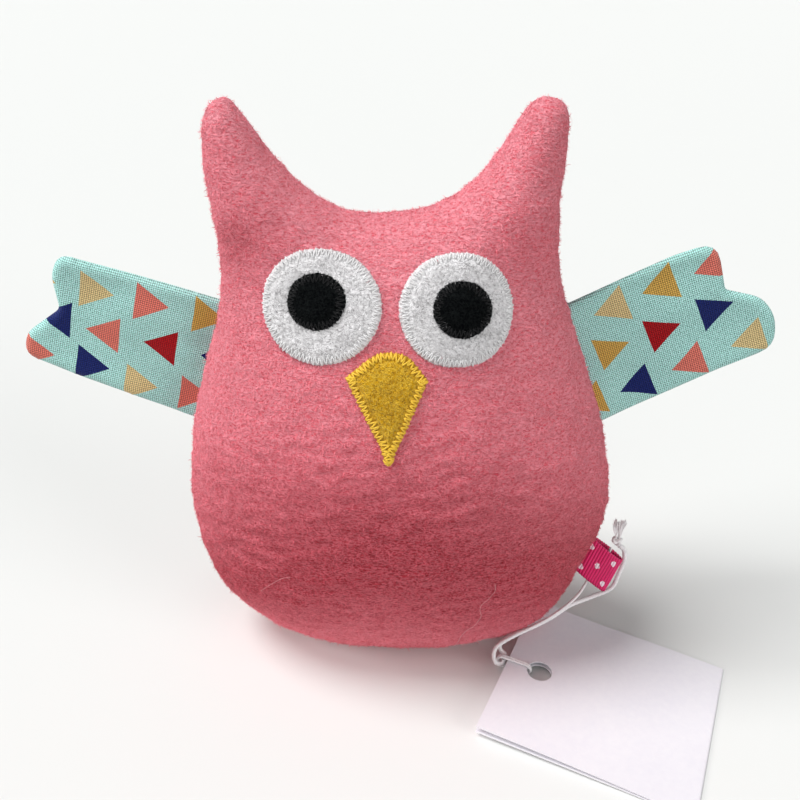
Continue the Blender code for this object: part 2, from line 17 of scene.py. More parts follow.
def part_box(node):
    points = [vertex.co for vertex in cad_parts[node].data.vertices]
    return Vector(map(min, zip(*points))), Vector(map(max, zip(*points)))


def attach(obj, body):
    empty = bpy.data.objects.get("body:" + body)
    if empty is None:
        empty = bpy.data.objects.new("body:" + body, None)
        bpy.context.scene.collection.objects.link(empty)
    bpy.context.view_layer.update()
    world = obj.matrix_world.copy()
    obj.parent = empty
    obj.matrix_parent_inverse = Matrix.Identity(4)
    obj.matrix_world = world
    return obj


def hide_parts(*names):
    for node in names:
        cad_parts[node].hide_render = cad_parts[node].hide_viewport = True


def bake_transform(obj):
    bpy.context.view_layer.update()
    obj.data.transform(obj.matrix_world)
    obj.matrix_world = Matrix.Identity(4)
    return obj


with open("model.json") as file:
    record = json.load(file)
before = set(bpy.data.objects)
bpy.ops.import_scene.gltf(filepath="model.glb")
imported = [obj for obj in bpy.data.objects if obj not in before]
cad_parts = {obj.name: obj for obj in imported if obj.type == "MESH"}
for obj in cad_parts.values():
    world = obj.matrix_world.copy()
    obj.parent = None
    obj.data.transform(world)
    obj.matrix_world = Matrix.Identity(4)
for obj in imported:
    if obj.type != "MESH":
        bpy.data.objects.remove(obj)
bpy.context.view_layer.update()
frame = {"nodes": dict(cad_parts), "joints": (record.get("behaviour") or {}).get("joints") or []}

MM = 0.001

# Camera: the photograph is 800 pixels square
PHOTO_PIXELS = 800
FOCAL_PIXELS = 862
CAMERA_AT = Vector((0, -0.1648, 0.160))
CAMERA_PITCH = math.radians(29.2)
CAMERA_ROLL = math.radians(1.6)
SENSOR_WIDTH = 36

# Lamps: name, where each stands from the owl, strength and angle in degrees
LAMPS = (
    ("top", Vector((-0.46, -0.02, 0.88)), 2.35, 26),
    ("left", Vector((-0.90, -0.12, 0.40)), 1.55, 22),
    ("right", Vector((0.80, -0.52, 0.30)), 1.15, 30),
    ("front", Vector((-0.10, -0.85, 0.50)), 0.40, 40),
)
WORLD_STRENGTH = 0.22
WORLD_COLOUR = (0.97, 0.985, 1.0)
BACKDROP_COLOUR = (0.95, 0.945, 0.935)

# Floor: its colour as seen, and the light that it gives back near the owl and far from it
FLOOR_SIZE = 8
FLOOR_COLOUR = (0.75, 0.76, 0.745)
FLOOR_BOUNCE = (0.84, 0.82, 0.80)
FAR_BOUNCE = (0.22, 0.22, 0.22)
BOUNCE_REACH = (0.06, 0.24)

# The body's own frame leans back
LEAN = math.radians(3)
SEAM_SETBACK = 2.0 * MM
LEAN_FRAME = Matrix.Translation((0, SEAM_SETBACK, 0)) @ Matrix.Rotation(-LEAN, 4, "X")
INTO_LEAN = LEAN_FRAME.inverted()

# Body
COVER = 1.4 * MM
SKIN_VOXEL = 0.56 * MM
SKIN_ROUNDS = 12
FIT_REACH = 3 * MM
FIT_ROUNDS = 12
SEAM_DEPTH = 0.6 * MM
SEAM_WIDTH = 0.8 * MM
PUCKER_DEPTH = 0.30 * MM
PUCKER_REACH = 5.0 * MM
PUCKER_PITCH = 3.2 * MM
LUMP_HEIGHT = 0.45 * MM
LUMP_SIZE = 15 * MM
DIMPLE_HEIGHT = 0.3 * LUMP_HEIGHT
DIMPLE_SIZE = LUMP_SIZE / 3.3

# Its swelling, by a cloth simulation
SWELL_VOXEL = 2.6 * MM
SWELL_ROUNDS = 3
SWELL_PRESSURE = 4.0
SWELL_FRAMES = 20
SWELL_CAP = 0.9 * MM
SWELL_NEAR = 4

# Ripples of its wool: height, run and pitch, and the share of them by height above the floor
RIPPLES = ((0.42 * MM, 5.0 * MM, 2.3 * MM), (0.18 * MM, 2.0 * MM, 1.2 * MM))
RIPPLE_HEIGHTS = (10 * MM, 55 * MM, 90 * MM)
RIPPLE_SHARES = (1.0, 0.9, 0.35)

# Creases in its wool, by the photograph's pixels: two ends, depth and width
BODY_CREASES = (
    ((364, 219), (363, 236), 0.55 * MM, 0.9 * MM),
    ((538, 190), (561, 206), 0.70 * MM, 1.3 * MM),
    ((209, 232), (226, 225), 0.60 * MM, 1.5 * MM),
    ((586, 432), (604, 427), 0.90 * MM, 1.8 * MM),
    ((300, 622), (352, 634), 0.30 * MM, 1.6 * MM),
)

# Painted light in the wool's colour: it is paler where the skin faces up, as painted top light,
# with lit copies of its ground and pits and a shaded copy of its tips. That facing is evened out
# over the skin, and painted light on its sides, its upper half and its ridges adds to it.
WOOL_STRETCH = (0.58, 0.80, 1.35)
PAINTED_TOP_LIGHT = 0.92
LIT_WOOL = (1.0, 0.270, 0.330)
LIT_PIT = (0.80, 0.105, 0.142)
PAINTED_SHADE_TIP = (0.82, 0.175, 0.222)
PAINTED_SIDE_LIGHT = 0.30
PAINTED_UPPER_LIGHT = 0.32
PAINTED_UPPER_LIGHT_HEIGHTS = (55 * MM, 100 * MM)
PAINTED_RIDGE_LIGHT = 0.35
RIDGE_ROUNDS = 3
FACING_ROUNDS = 40

# Fibres: how they droop, rise from the surface and vary
FIBRE_DROOP = 0.35
FIBRE_RISE = (0.10, 0.35)
STANDING_RISE = (0.5, 1.1)
FIBRE_SHARES = (0.45, 1.25)
FIBRE_CURL = 0.45
ROOT_DEPTH = 0.06 * MM

# Fibres on the body: name, count, length, width, seed and the share that stands up
BODY_FIBRES = (
    ("owl_body_fuzz", 56000, 1.45 * MM, 0.120 * MM, 21, 0.03),
    ("owl_body_halo", 60000, 0.70 * MM, 0.040 * MM, 22, 0.75),
)
# Where they keep clear of the felt
CLEARINGS = (("left_eye", 9.9 * MM), ("right_eye", 9.9 * MM), ("beak", 4.6 * MM))
LOWEST_FIBRE = 0.3 * MM

# Wool and felt: the colours of the pits, the ground and the fibres' tips. The pits' dark is partly
# grain and partly painted shade in the hollows; the wool's tips are also its painted top light.
PINK_WOOL = ((0.29, 0.021, 0.030), (0.43, 0.037, 0.052), (1.0, 0.375, 0.435))
PINK_FUZZ = ((0.31, 0.026, 0.037), (0.48, 0.050, 0.071), (1.0, 0.38, 0.44))
WHITE_FELT = ((0.44, 0.42, 0.425), (0.90, 0.88, 0.89), (0.98, 0.97, 0.975))
BLACK_FELT = ((0.002, 0.002, 0.003), (0.0025, 0.003, 0.0035), (0.012, 0.014, 0.014))
MUSTARD_FELT = ((0.34, 0.16, 0.004), (0.68, 0.36, 0.010), (0.88, 0.57, 0.06))

# Felt
FELT_BASE = 0.1 * MM
FELT_THICKNESS = 1.0 * MM
FELT_EDGE = 0.45 * MM
FELT_PRESS = 0.42
FELT_SUNK_EDGE = 0.15 * MM
FELT_GRAIN, FELT_GRAIN_SIZE = 0.05 * MM, 1.3 * MM
FELT_UNDERCUT, FELT_SKIRT = 0.15 * MM, 0.55 * MM
SCALLOP = 0.05 * MM
RAGGED_EDGE, RAGGED_SIZE = 0.13 * MM, 0.55 * MM
FELT_STEPS = 240
FELT_RINGS = (
    0.12, 0.24, 0.36, 0.48, 0.58, 0.67, 0.74, 0.80, 0.85, 0.89, 0.925, 0.95, 0.97, 0.985, 1.0,
)
STITCH_STEP = 0.50 * MM
STITCH_DEPTH = 1.9 * MM
STITCH_OVERHANG = 0.06 * MM
EYE_RADIUS = 11.4 * MM
PUPIL_RADIUS = 5.7 * MM
PUPIL_STRETCH = 1.06
FIBRE_LENGTH = 0.85 * MM
FIBRE_WIDTH = 0.11 * MM
FIBRES_STANDING = 0.25
RAY_START = 25 * MM

# Beak: its outline about the middle, straight sides and an arched top
BEAK_OUTLINE_MM = (
    (0.20, -11.35), (0.70, -11.60), (1.20, -11.35), (2.8, -7.6), (4.6, -3.2), (6.3, 1.2),
    (7.8, 5.0), (8.15, 5.7), (7.7, 6.4), (6.4, 8.0), (5.0, 9.6), (3.4, 10.8), (1.4, 11.25),
    (-0.8, 11.2), (-3.0, 10.4), (-5.0, 8.9), (-6.8, 7.2), (-7.9, 6.3), (-8.15, 5.6),
    (-7.8, 4.8), (-5.9, 1.2), (-3.6, -3.2), (-1.2, -7.6),
)

# Wings
WING_SWELL = 0.75 * MM
WING_CELL = 1.0 * MM
WING_EDGE = 0.8 * MM
WING_TUCK = 5.5 * MM
WING_RIDGE, WING_RIDGE_AT, WING_RIDGE_WIDTH = 0.22 * MM, 1.6 * MM, 1.3 * MM
WING_PUCKER, WING_PUCKER_REACH, WING_PUCKER_PITCH = 0.14 * MM, 2.2 * MM, 1.5 * MM
# Waves of its cloth, and pleats that fade from the root: height, and size out and along
WING_WAVES = (0.80 * MM, 13 * MM, 9 * MM)
WING_PLEATS = (0.95 * MM, 26 * MM, 4.5 * MM)
PLEAT_REACH = 12 * MM
THREAD_PITCH = 0.44 * MM
TRIANGLE_EDGE = 8.4 * MM
BACK_PRINT_SHIFT = 5.5 * MM
BACK_PRINT_HEIGHT = 32 * MM
PRINT_COLOURS = {
    "navy": (0.006, 0.018, 0.160),
    "red": (0.50, 0.002, 0.008),
    "coral": (0.97, 0.25, 0.19),
    "gold": (0.80, 0.49, 0.110),
    "pale_gold": (0.93, 0.72, 0.35),
    "aqua": (0.52, 0.97, 0.88),
}

# Each printed triangle: colour, distance out and along the wing, and its turn
LEFT_PRINT = (
    ("pale_gold", 24.7, 24.2, 177), ("coral", 12.9, 24.9, 177), ("gold", 0.3, 25.5, 177),
    ("navy", 30.4, 16.0, -3), ("coral", 19.8, 15.5, -3), ("red", 7.3, 16.0, -3),
    ("navy", -5.4, 16.7, -3), ("navy", 23.1, 7.0, 177), ("pale_gold", 12.1, 5.4, 177),
    ("coral", -0.1, 6.2, 177), ("coral", 35.2, 6.8, 177), ("gold", 36.9, 23.5, 177),
)
RIGHT_PRINT = (
    ("pale_gold", 7.8, 26.5, 186), ("gold", 18.6, 27.8, 186), ("coral", 29.8, 28.3, 186),
    ("navy", 26.7, 18.5, 6), ("pale_gold", 33.8, 9.3, 186), ("red", 15.1, 17.6, 6),
    ("coral", 20.5, 8.3, 186), ("gold", 3.8, 17.0, 6), ("navy", 8.6, 6.9, 186),
    ("gold", -2.4, 6.5, 186),
)

# Ribbon tab, in the body's own frame. Its fold goes by shares of the reach and the opening.
RIBBON_AT = Vector((46.0, 0, 24.8)) * MM
RIBBON_WIDTH = 10.2 * MM
RIBBON_REACH = 10.7 * MM
RIBBON_OPENING = 1.4 * MM
RIBBON_THICKNESS = 0.32 * MM
RIBBON_TILT = math.radians(18)
RIBBON_DROOP = math.radians(39)
RIBBON_COLUMNS, RIBBON_LINES = 14, 260
RIBBON_WAVE = 0.16 * MM
RIB_PITCH = 0.80 * MM
RIB_HEIGHT = 0.10 * MM
RIB_OVERHANG = 0.05 * MM
DOT_RADIUS = 0.76 * MM
DOT_PITCHES = (6.4 * MM, 7.6 * MM)
DOT_SHIFTS = (0.1 * MM, -1.2 * MM)
RIBBON_FOLD = (
    (-0.35, -0.10), (0.00, -0.35), (0.22, -0.75), (0.55, -1.00), (0.82, -0.92), (0.97, -0.55),
    (1.02, 0.00),
)

# String. It shows thicker than its diameter for its loose fibres, and thinner on its way back
# from the hitch to the knot.
STRING_DIAMETER = 0.9 * MM
STRING_FLUFF = 1.40
STRING_TAPER = ((0, 0.45, 0.62, 0.72, 1), (1.0, 0.90, 0.86, 0.66, 0.62))
STRING_RINGS = 320
STRING_PATH_POINTS = 60
PLY_PITCH = 2.3 * MM
TUBE_END = 0.35
CURVE_STEPS = 12
STRING_ROUTE_MM = (
    (55.1, 4.5, 26.0), (56.7, 4.8, 24.3), (57.1, 4.5, 21.2), (56.2, 3.9, 17.6), (54.9, 3.7, 12.9),
    (50.2, 2.8, 10.7), (44.1, -0.6, 10.7), (39.2, -3.4, 9.1), (34.8, -5.8, 8.3), (30.4, -7.4, 7.4),
    (27.7, -7.9, 5.9), (26.4, -7.9, 4.0), (26.6, -8.1, 2.4), (27.6, -9.1, 1.9), (27.5, -10.5, 1.9),
    (26.6, -12.2, 1.9), (25.3, -12.3, 2.1), (24.6, -11.4, 3.4), (25.0, -10.8, 5.6),
    (26.8, -10.3, 7.3), (29.8, -9.3, 8.6), (34.3, -7.3, 9.6), (38.7, -4.8, 10.5),
    (43.2, -1.8, 12.0), (46.4, 1.0, 13.4), (48.4, 2.8, 16.0), (50.2, 3.1, 19.2), (52.0, 3.3, 22.6),
    (53.1, 3.7, 25.9),
)
KNOT_AT = Vector((54.3, 4.0, 27.7)) * MM
KNOT_SIZE = 0.36 * MM
KNOT_STRAND = 0.47 * MM
KNOT_PLY_PITCH = 1.6 * MM
TAIL_FIBRES = 34
TAIL_FIBRE = 0.17 * MM

# Tag: X from the string's side to the fold, Y up the hole's side
TAG_FRAME = Matrix.Translation((0.0190, -0.0322, 0)) @ Matrix.Rotation(math.radians(-24), 4, "Z")
TAG_WIDTH = 48.2 * MM
TAG_HEIGHT = 45.0 * MM
TAG_COLUMNS, TAG_ROWS, FOLD_STEPS = 48, 44, 6
CARD_THICKNESS = 0.3 * MM
TAG_LIFT = 1.2 * MM
TAG_OPENING = 0.6 * MM
LOWER_BOW, UPPER_BOW = 0.15 * MM, 0.45 * MM
NEAR_CORNER, FAR_CORNER = 0.75 * MM, 1.7 * MM / 0.3
HOLE_RADIUS = 3.0 * MM
HOLE_AT = Vector((8.0, 22.5, 0)) * MM
HITCH_FROM = -2.6 * MM
HITCH_TO = 5.75 * MM
HITCH_RADIUS = 1.35 * MM
HITCH_SPREAD = 0.36 * MM
HITCH_STRAND = 0.34 * MM

# Loose threads on the wool, by the photograph's pixels, and the radius of each
THREAD_LIFT = 0.5 * MM
LOOSE_THREAD = (
    (494, 582), (495, 588), (491, 594), (486, 599), (481, 603), (479, 609), (480, 614),
    (477, 620), (472, 625), (466, 629), (461, 634), (458, 640), (453, 644),
)
HEM_THREAD = (
    (453, 644), (458, 642), (463, 646), (467, 642), (474, 643), (479, 646), (483, 641),
    (485, 637), (490, 641), (494, 637), (498, 640),
)
FACE_HAIR = ((262, 590), (272, 583), (283, 577), (292, 576))
LOOSE_THREADS = (
    (LOOSE_THREAD, 0.045 * MM), (HEM_THREAD, 0.050 * MM), (FACE_HAIR, 0.032 * MM),
)


# Materials


class Nodes:
    """Adds nodes to a tree. A value is a number, a vector, a colour or another node's output."""

    def __init__(self, tree):
        self.tree = tree

    def put(self, socket, value):
        """Links an output to the socket, or sets the socket's own value."""
        if isinstance(value, bpy.types.NodeSocket):
            self.tree.links.new(value, socket)
        elif socket.type == "RGBA":
            socket.default_value = (*value, 1)
        else:
            socket.default_value = value

    def add(self, kind, inputs=None, **settings):
        made = self.tree.nodes.new(kind)
        for name, value in settings.items():
            setattr(made, name, value)
        for name, value in (inputs or {}).items():
            self.put(made.inputs[name], value)
        return made

    def calc(self, operation, first, second=0.0):
        inputs = {0: first, 1: second}
        return self.add("ShaderNodeMath", inputs, operation=operation).outputs[0]

    def plus(self, first, second):
        return self.calc("ADD", first, second)

    def times(self, first, second):
        return self.calc("MULTIPLY", first, second)

    def mix(self, share, first, second):
        """The first colour where the share is 0, and the second where it is 1."""
        inputs = {0: share, 6: first, 7: second}
        return self.add("ShaderNodeMix", inputs, data_type="RGBA").outputs[2]

    def spread(self, value, low, high, to_low=0.0, to_high=1.0):
        """The value's place between low and high, as a number from to_low to to_high."""
        inputs = {
            "Value": value, "From Min": low, "From Max": high, "To Min": to_low, "To Max": to_high,
        }
        return self.add("ShaderNodeMapRange", inputs).outputs["Result"]

    def place(self, stretch=(1, 1, 1), uv=None):
        """Where a texture is read: the row frame, or a map of the piece's own."""
        if uv:
            source = self.add("ShaderNodeUVMap", uv_map=uv).outputs["UV"]
        else:
            source = self.add("ShaderNodeTexCoord").outputs["Object"]
        return self.add("ShaderNodeMapping", {"Vector": source, "Scale": stretch}).outputs[0]

    def split(self, vector):
        return self.add("ShaderNodeSeparateXYZ", {"Vector": vector}).outputs

    def noise(self, place, size, detail=2.0, roughness=0.5, distortion=0.0):
        """Noise whose lumps are about as large as size, in metres."""
        inputs = {"Vector": place, "Scale": 1 / size, "Detail": detail, "Roughness": roughness}
        inputs["Distortion"] = distortion
        return self.add("ShaderNodeTexNoise", inputs).outputs["Fac"]

    def curls(self, place, size, seed):
        """Thin lines that wander, a curl about as large as size. The line's middle is 1."""
        moved = self.add("ShaderNodeMapping", {"Vector": place, "Location": (seed,) * 3})
        wave = self.noise(moved.outputs["Vector"], size, 1.0, 0.5, 0.6)
        return self.spread(self.calc("ABSOLUTE", self.calc("SUBTRACT", wave, 0.5)), 0.12, 0.0)

    def seen(self):
        """1 where the surface is looked at, also by way of metal or glass, and 0 for its light."""
        rays = self.add("ShaderNodeLightPath").outputs
        plain = self.plus(rays["Is Camera Ray"], rays["Is Glossy Ray"])
        return self.calc("MINIMUM", self.plus(plain, rays["Is Transmission Ray"]), 1.0)


class Look(Nodes):
    """The nodes of one material."""

    def __init__(
        self, name, colour, roughness, specular, sheen=0.0, tint=(1, 1, 1), sheen_roughness=0.45
    ):
        self.material = bpy.data.materials.new(name)
        self.material.use_nodes = True
        super().__init__(self.material.node_tree)
        self.shader = self.tree.nodes["Principled BSDF"].inputs
        for socket, value in (
            ("Base Color", colour), ("Roughness", roughness), ("Specular IOR Level", specular),
            ("Sheen Weight", sheen), ("Sheen Tint", tint), ("Sheen Roughness", sheen_roughness),
        ):
            self.put(self.shader[socket], value)

    def made(self, colour, height=None, depth=0.0, strength=1.0):
        """The material in this colour, with relief where it has a height."""
        self.put(self.shader["Base Color"], colour)
        if height is not None:
            inputs = {"Height": height, "Distance": depth, "Strength": strength}
            self.put(self.shader["Normal"], self.add("ShaderNodeBump", inputs).outputs["Normal"])
        return self.material


def wool_material(name, pit, ground, tip, bumpy=True):
    """Brushed wool: pale curly fibres over dark pits, which are partly painted shade. Painted light
    makes it paler where the facing map says it faces up or down.
    """
    look = Look(name, ground, 0.95, 0.02, 0.45, (1.0, 0.44, 0.50), 0.28)
    across = look.place(WOOL_STRETCH)
    upper = look.curls(across, 0.60 * MM, 0.031)
    lower = look.curls(across, 0.45 * MM, 0.077)
    hollow = look.spread(look.noise(across, 0.55 * MM, 3.0, 0.62, 0.5), 0.41, 0.57)
    patches = look.spread(look.noise(look.place(), 24 * MM), 0.35, 0.70, 0.0, 0.10)
    facing = look.split(look.add("ShaderNodeUVMap", uv_map="facing").outputs["UV"])["X"]
    # Painted light from the facing map: a share for faces up, and one for faces down as painted
    # floor bounce
    under = look.spread(facing, -0.05, -0.50, 0.0, 0.75)
    painted_lit_share = look.calc("MAXIMUM", look.spread(facing, 0.02, 0.46, 0.0, PAINTED_TOP_LIGHT), under)
    painted_top_share = look.spread(facing, 0.40, 0.95, 0.0, PAINTED_TOP_LIGHT)
    # Lit copies of the ground and pits, with the tips' colour as painted top light; the pits are
    # partly painted shade
    lit = look.mix(painted_top_share, look.mix(painted_lit_share, ground, LIT_WOOL), tip)
    colour = look.mix(hollow, look.mix(painted_lit_share, pit, LIT_PIT), lit)
    colour = look.mix(look.times(lower, 0.55), colour, lit)
    colour = look.mix(look.times(upper, 0.75), colour, look.mix(painted_lit_share, PAINTED_SHADE_TIP, tip))
    colour = look.mix(patches, colour, pit)
    if not bumpy:
        return look.made(colour)
    fibres = look.plus(upper, look.times(lower, 0.7))
    return look.made(colour, look.plus(hollow, look.times(fibres, 0.55)), 0.17 * MM)


def felt_material(name, pit, ground, tip, sheen=0.15):
    """Pressed felt: short curly fibres in every direction."""
    look = Look(name, ground, 0.95, sheen / 2, sheen)
    here = look.place()
    upper = look.curls(here, 0.55 * MM, 0.043)
    lower = look.curls(here, 0.42 * MM, 0.091)
    hollow = look.spread(look.noise(here, 0.60 * MM, 3.0, 0.6, 0.6), 0.36, 0.52)
    # The pits' dark is partly the felt's grain and partly painted shade in its hollows
    colour = look.mix(hollow, pit, ground)
    colour = look.mix(look.times(lower, 0.6), colour, ground)
    colour = look.mix(look.times(upper, 0.85), colour, tip)
    fibres = look.plus(upper, look.times(lower, 0.7))
    return look.made(colour, look.plus(hollow, look.times(fibres, 0.7)), 0.15 * MM)


def thread_material(name, colour, shine=0.3):
    """Sewing thread: a fine slanting twist with a soft shine."""
    look = Look(name, colour, 0.55, shine, 0.2)
    strands = look.noise(look.place((1, 1, 1.6)), 0.16 * MM)
    dark = tuple(0.62 * part for part in colour)
    return look.made(look.mix(look.spread(strands, 0.3, 0.6), dark, colour), strands, 0.1 * MM, 0.6)


def cotton_material(name, colour, strength_of_print):
    """Plain weave: threads over and under each other, uneven in thickness."""
    look = Look(name, colour, 0.85, 0.12, 0.12)
    here = look.place(uv="weave")
    slub = look.spread(look.noise(here, 1.6 * MM), 0, 1, -0.35, 0.35)
    turns = math.tau / (2 * THREAD_PITCH)
    warp, weft = (look.plus(look.times(part, turns), slub) for part in look.split(here)[:2])
    crossing = look.times(look.calc("SINE", warp), look.calc("SINE", weft))
    hump = look.calc("ABSOLUTE", crossing)
    fuzz = look.noise(here, 0.35 * MM, 3.0, 0.6)
    pale = tuple(min(0.98, part * 1.15 + 0.05) for part in colour)
    # Painted shade: darker where the threads dip between their crossings
    dark = tuple(part * 0.14 for part in colour)
    mixed = look.mix(look.spread(hump, 0.0, 0.60), dark, colour)
    mixed = look.mix(look.spread(fuzz, 0.45, 0.66, 0, 1 - strength_of_print), mixed, pale)
    return look.made(mixed, look.plus(hump, fuzz), 0.08 * MM)


def ribbon_material():
    """Hot pink ribbon with white dots in staggered rows. Its ribs are in the mesh."""
    pink = (0.83, 0.016, 0.175)
    look = Look("ribbon", pink, 0.42, 0.35, 0.1, (1, 0.6, 0.8))
    here = look.place(uv="weave")
    parts = look.split(here)

    def from_dots(half):
        squares = []
        for axis, pitch, shift in zip("XY", DOT_PITCHES, DOT_SHIFTS):
            moved = look.plus(look.calc("DIVIDE", parts[axis], pitch), shift / pitch + half)
            off = look.calc("SUBTRACT", look.calc("FRACT", moved), 0.5)
            squares.append(look.calc("POWER", look.times(off, pitch), 2.0))
        return look.calc("SQRT", look.plus(*squares))

    nearest = look.calc("MINIMUM", from_dots(0.0), from_dots(0.5))
    ragged = look.times(look.spread(look.noise(here, 0.4 * MM), 0, 1, -1, 1), 0.18 * MM)
    edge = look.plus(nearest, ragged)
    dot = look.spread(edge, DOT_RADIUS + 0.05 * MM, DOT_RADIUS - 0.05 * MM)
    weave = look.noise(look.place((6, 1, 1), uv="weave"), 0.5 * MM)
    # Painted shade: the ground and the dots are darker in the valleys between the ribs
    crest = look.calc("COSINE", look.times(parts["Y"], math.tau / RIB_PITCH))
    crest = look.spread(crest, -0.8, 0.5)
    ground = look.mix(look.spread(weave, 0.35, 0.65), (0.66, 0.010, 0.115), pink)
    ground = look.mix(crest, (0.45, 0.004, 0.070), ground)
    printed = look.mix(crest, (0.66, 0.42, 0.50), (0.95, 0.80, 0.86))
    return look.made(look.mix(dot, ground, printed), weave, 0.08 * MM, 0.5)


def string_material():
    look = Look("cotton_string", (0.96, 0.94, 0.94), 0.8, 0.1, 0.25)
    strands = look.noise(look.place(), 0.22 * MM, 3.0, 0.6, 0.6)
    share = look.spread(strands, 0.35, 0.62)
    colour = look.mix(share, (0.80, 0.76, 0.77), (0.97, 0.955, 0.96))
    return look.made(colour, strands, 0.18 * MM, 0.7)


def card_material():
    look = Look("card", (0.76, 0.74, 0.785), 0.6, 0.3)
    here = look.place()
    pulp = look.noise(here, 1.5 * MM, 5.0, 0.6)
    shade = look.spread(look.plus(pulp, look.noise(here, 18 * MM)), 0.7, 1.3)
    colour = look.mix(shade, (0.74, 0.72, 0.77), (0.785, 0.765, 0.80))
    return look.made(colour, pulp, 0.03 * MM, 0.4)


# Meshes


def add_piece(name, data, *materials):
    obj = bpy.data.objects.new(name, data)
    bpy.context.scene.collection.objects.link(obj)
    for material in materials:
        data.materials.append(material)
    return obj


def mesh_of(name, points, faces):
    mesh = bpy.data.meshes.new(name)
    mesh.from_pydata([tuple(point) for point in points], [], faces)
    mesh.validate()
    mesh.shade_smooth()
    return mesh


def mesh_from(name, bm):
    mesh = bpy.data.meshes.new(name)
    bm.to_mesh(mesh)
    bm.free()
    return mesh


def grid_faces(lines, columns, first=0, closed_lines=False, closed_columns=False):
    """Quads between neighbouring lines of points. Each line has so many columns."""
    faces = []
    for line in range(lines if closed_lines else lines - 1):
        here = first + line * columns
        following = first + (line + 1) % lines * columns
        for column in range(columns if closed_columns else columns - 1):
            after = (column + 1) % columns
            faces.append((here + column, here + after, following + after, following + column))
    return faces


class Pile:
    """Several closed forms gathered into one mesh."""

    def __init__(self):
        self.points = []
        self.faces = []

    def add(self, points, faces):
        first = len(self.points)
        self.points += points
        self.faces += [tuple(index + first for index in face) for face in faces]

    def piece(self, name, material):
        return add_piece(name, mesh_of(name, self.points, self.faces), material)


def smooth_points(route, count, closed=False):
    """Points evenly spread along a Catmull-Rom curve through the route."""
    knots = [Vector(point) for point in route]
    if closed:
        knots = [knots[-1], *knots, knots[0], knots[1]]
    else:
        knots = [2 * knots[0] - knots[1], *knots, 2 * knots[-1] - knots[-2]]
    dense = []
    for before, start, end, after in zip(knots, knots[1:], knots[2:], knots[3:]):
        speed = end - before
        bend = 2 * before - 5 * start + 4 * end - after
        twist = 3 * start - before - 3 * end + after
        for part in range(CURVE_STEPS):
            t = part / CURVE_STEPS
            dense.append(0.5 * (2 * start + speed * t + bend * t**2 + twist * t**3))
    dense.append(knots[-2])
    lengths = [0.0]
    for first, second in zip(dense, dense[1:]):
        lengths.append(lengths[-1] + (second - first).length)
    points = []
    place = 0
    for step in range(count):
        wanted = lengths[-1] * step / (count if closed else count - 1)
        while place < len(dense) - 2 and lengths[place + 1] < wanted:
            place += 1
        stretch = max(lengths[place + 1] - lengths[place], 1e-12)
        points.append(dense[place].lerp(dense[place + 1], (wanted - lengths[place]) / stretch))
    return points


def tube(points, radius, sides, closed=False, plies=0, pitch=PLY_PITCH):
    """A tube along points. The radius is a number, or one for each point. With plies its section
    has that many strands, twisted at the pitch."""
    count = len(points)
    radii = [radius] * count if isinstance(radius, float) else radius
    made = []
    side = None
    along = 0.0
    for step, point in enumerate(points):
        after = points[(step + 1) % count] if closed else points[min(step + 1, count - 1)]
        before = points[step - 1] if closed or step else points[0]
        ahead = (after - before).normalized()
        if side is None:
            side = ahead.orthogonal().normalized()
        side = (side - ahead * side.dot(ahead)).normalized()
        other = ahead.cross(side)
        end = not closed and step in (0, count - 1)
        for part in range(sides):
            angle = math.tau * part / sides
            reach = radii[step] * (TUBE_END if end else 1)
            if plies:
                lobe = abs(math.cos(plies / 2 * (angle - math.tau * along / pitch)))
                reach *= 0.76 + 0.24 * lobe
            made.append(point + (side * math.cos(angle) + other * math.sin(angle)) * reach)
        along += (after - point).length
    faces = grid_faces(count, sides, closed_lines=closed, closed_columns=True)
    if not closed:
        faces.append(tuple(reversed(range(sides))))
        faces.append(tuple((count - 1) * sides + part for part in range(sides)))
    return made, faces


def tree_of(obj):
    return BVHTree.FromObject(obj, bpy.context.evaluated_depsgraph_get())


def values_of(items, field, width, kind=float):
    """One field of all the items, a row for each."""
    flat = np.empty(len(items) * width, dtype=kind)
    items.foreach_get(field, flat)
    return flat.reshape(-1, width)


def coords_of(mesh):
    return values_of(mesh.vertices, "co", 3)


def normals_of(mesh):
    return values_of(mesh.vertex_normals, "vector", 3)


def corner_verts(mesh):
    return values_of(mesh.loops, "vertex_index", 1, int)[:, 0]


def set_coords(mesh, coords):
    mesh.vertices.foreach_set("co", np.asarray(coords, dtype=np.float32).ravel())
    mesh.update()


def write_map(mesh, name, pairs):
    """Keeps a pair of numbers for each face corner, for the material to read."""
    layer = mesh.uv_layers.new(name=name)
    layer.data.foreach_set("uv", np.asarray(pairs, dtype=np.float32).ravel())


def settle(obj):
    """Applies the object's modifiers."""
    graph = bpy.context.evaluated_depsgraph_get()
    mesh = bpy.data.meshes.new_from_object(obj.evaluated_get(graph))
    obj.modifiers.clear()
    old = obj.data
    obj.data = mesh
    bpy.data.meshes.remove(old)
    mesh.shade_smooth()


# Camera, light and floor


def add_camera():
    data = bpy.data.cameras.new("camera")
    data.sensor_width = SENSOR_WIDTH
    data.lens = SENSOR_WIDTH * FOCAL_PIXELS / PHOTO_PIXELS
    data.clip_start = 0.01
    camera = add_piece("camera", data)
    camera.matrix_world = (
        Matrix.Translation(CAMERA_AT)
        @ Matrix.Rotation(math.pi / 2 - CAMERA_PITCH, 4, "X")
        @ Matrix.Rotation(CAMERA_ROLL, 4, "Z")
    )
    bpy.context.scene.camera = camera
    return camera


def seen_on(surface, camera, pixel):
    """The point of a surface that shows at a pixel of the photograph, and its normal."""
    half = PHOTO_PIXELS / 2
    local = Vector((pixel[0] - half, half - pixel[1], -FOCAL_PIXELS))
    ray = (camera.matrix_world.to_3x3() @ local).normalized()
    return surface.ray_cast(CAMERA_AT, ray)[:2]


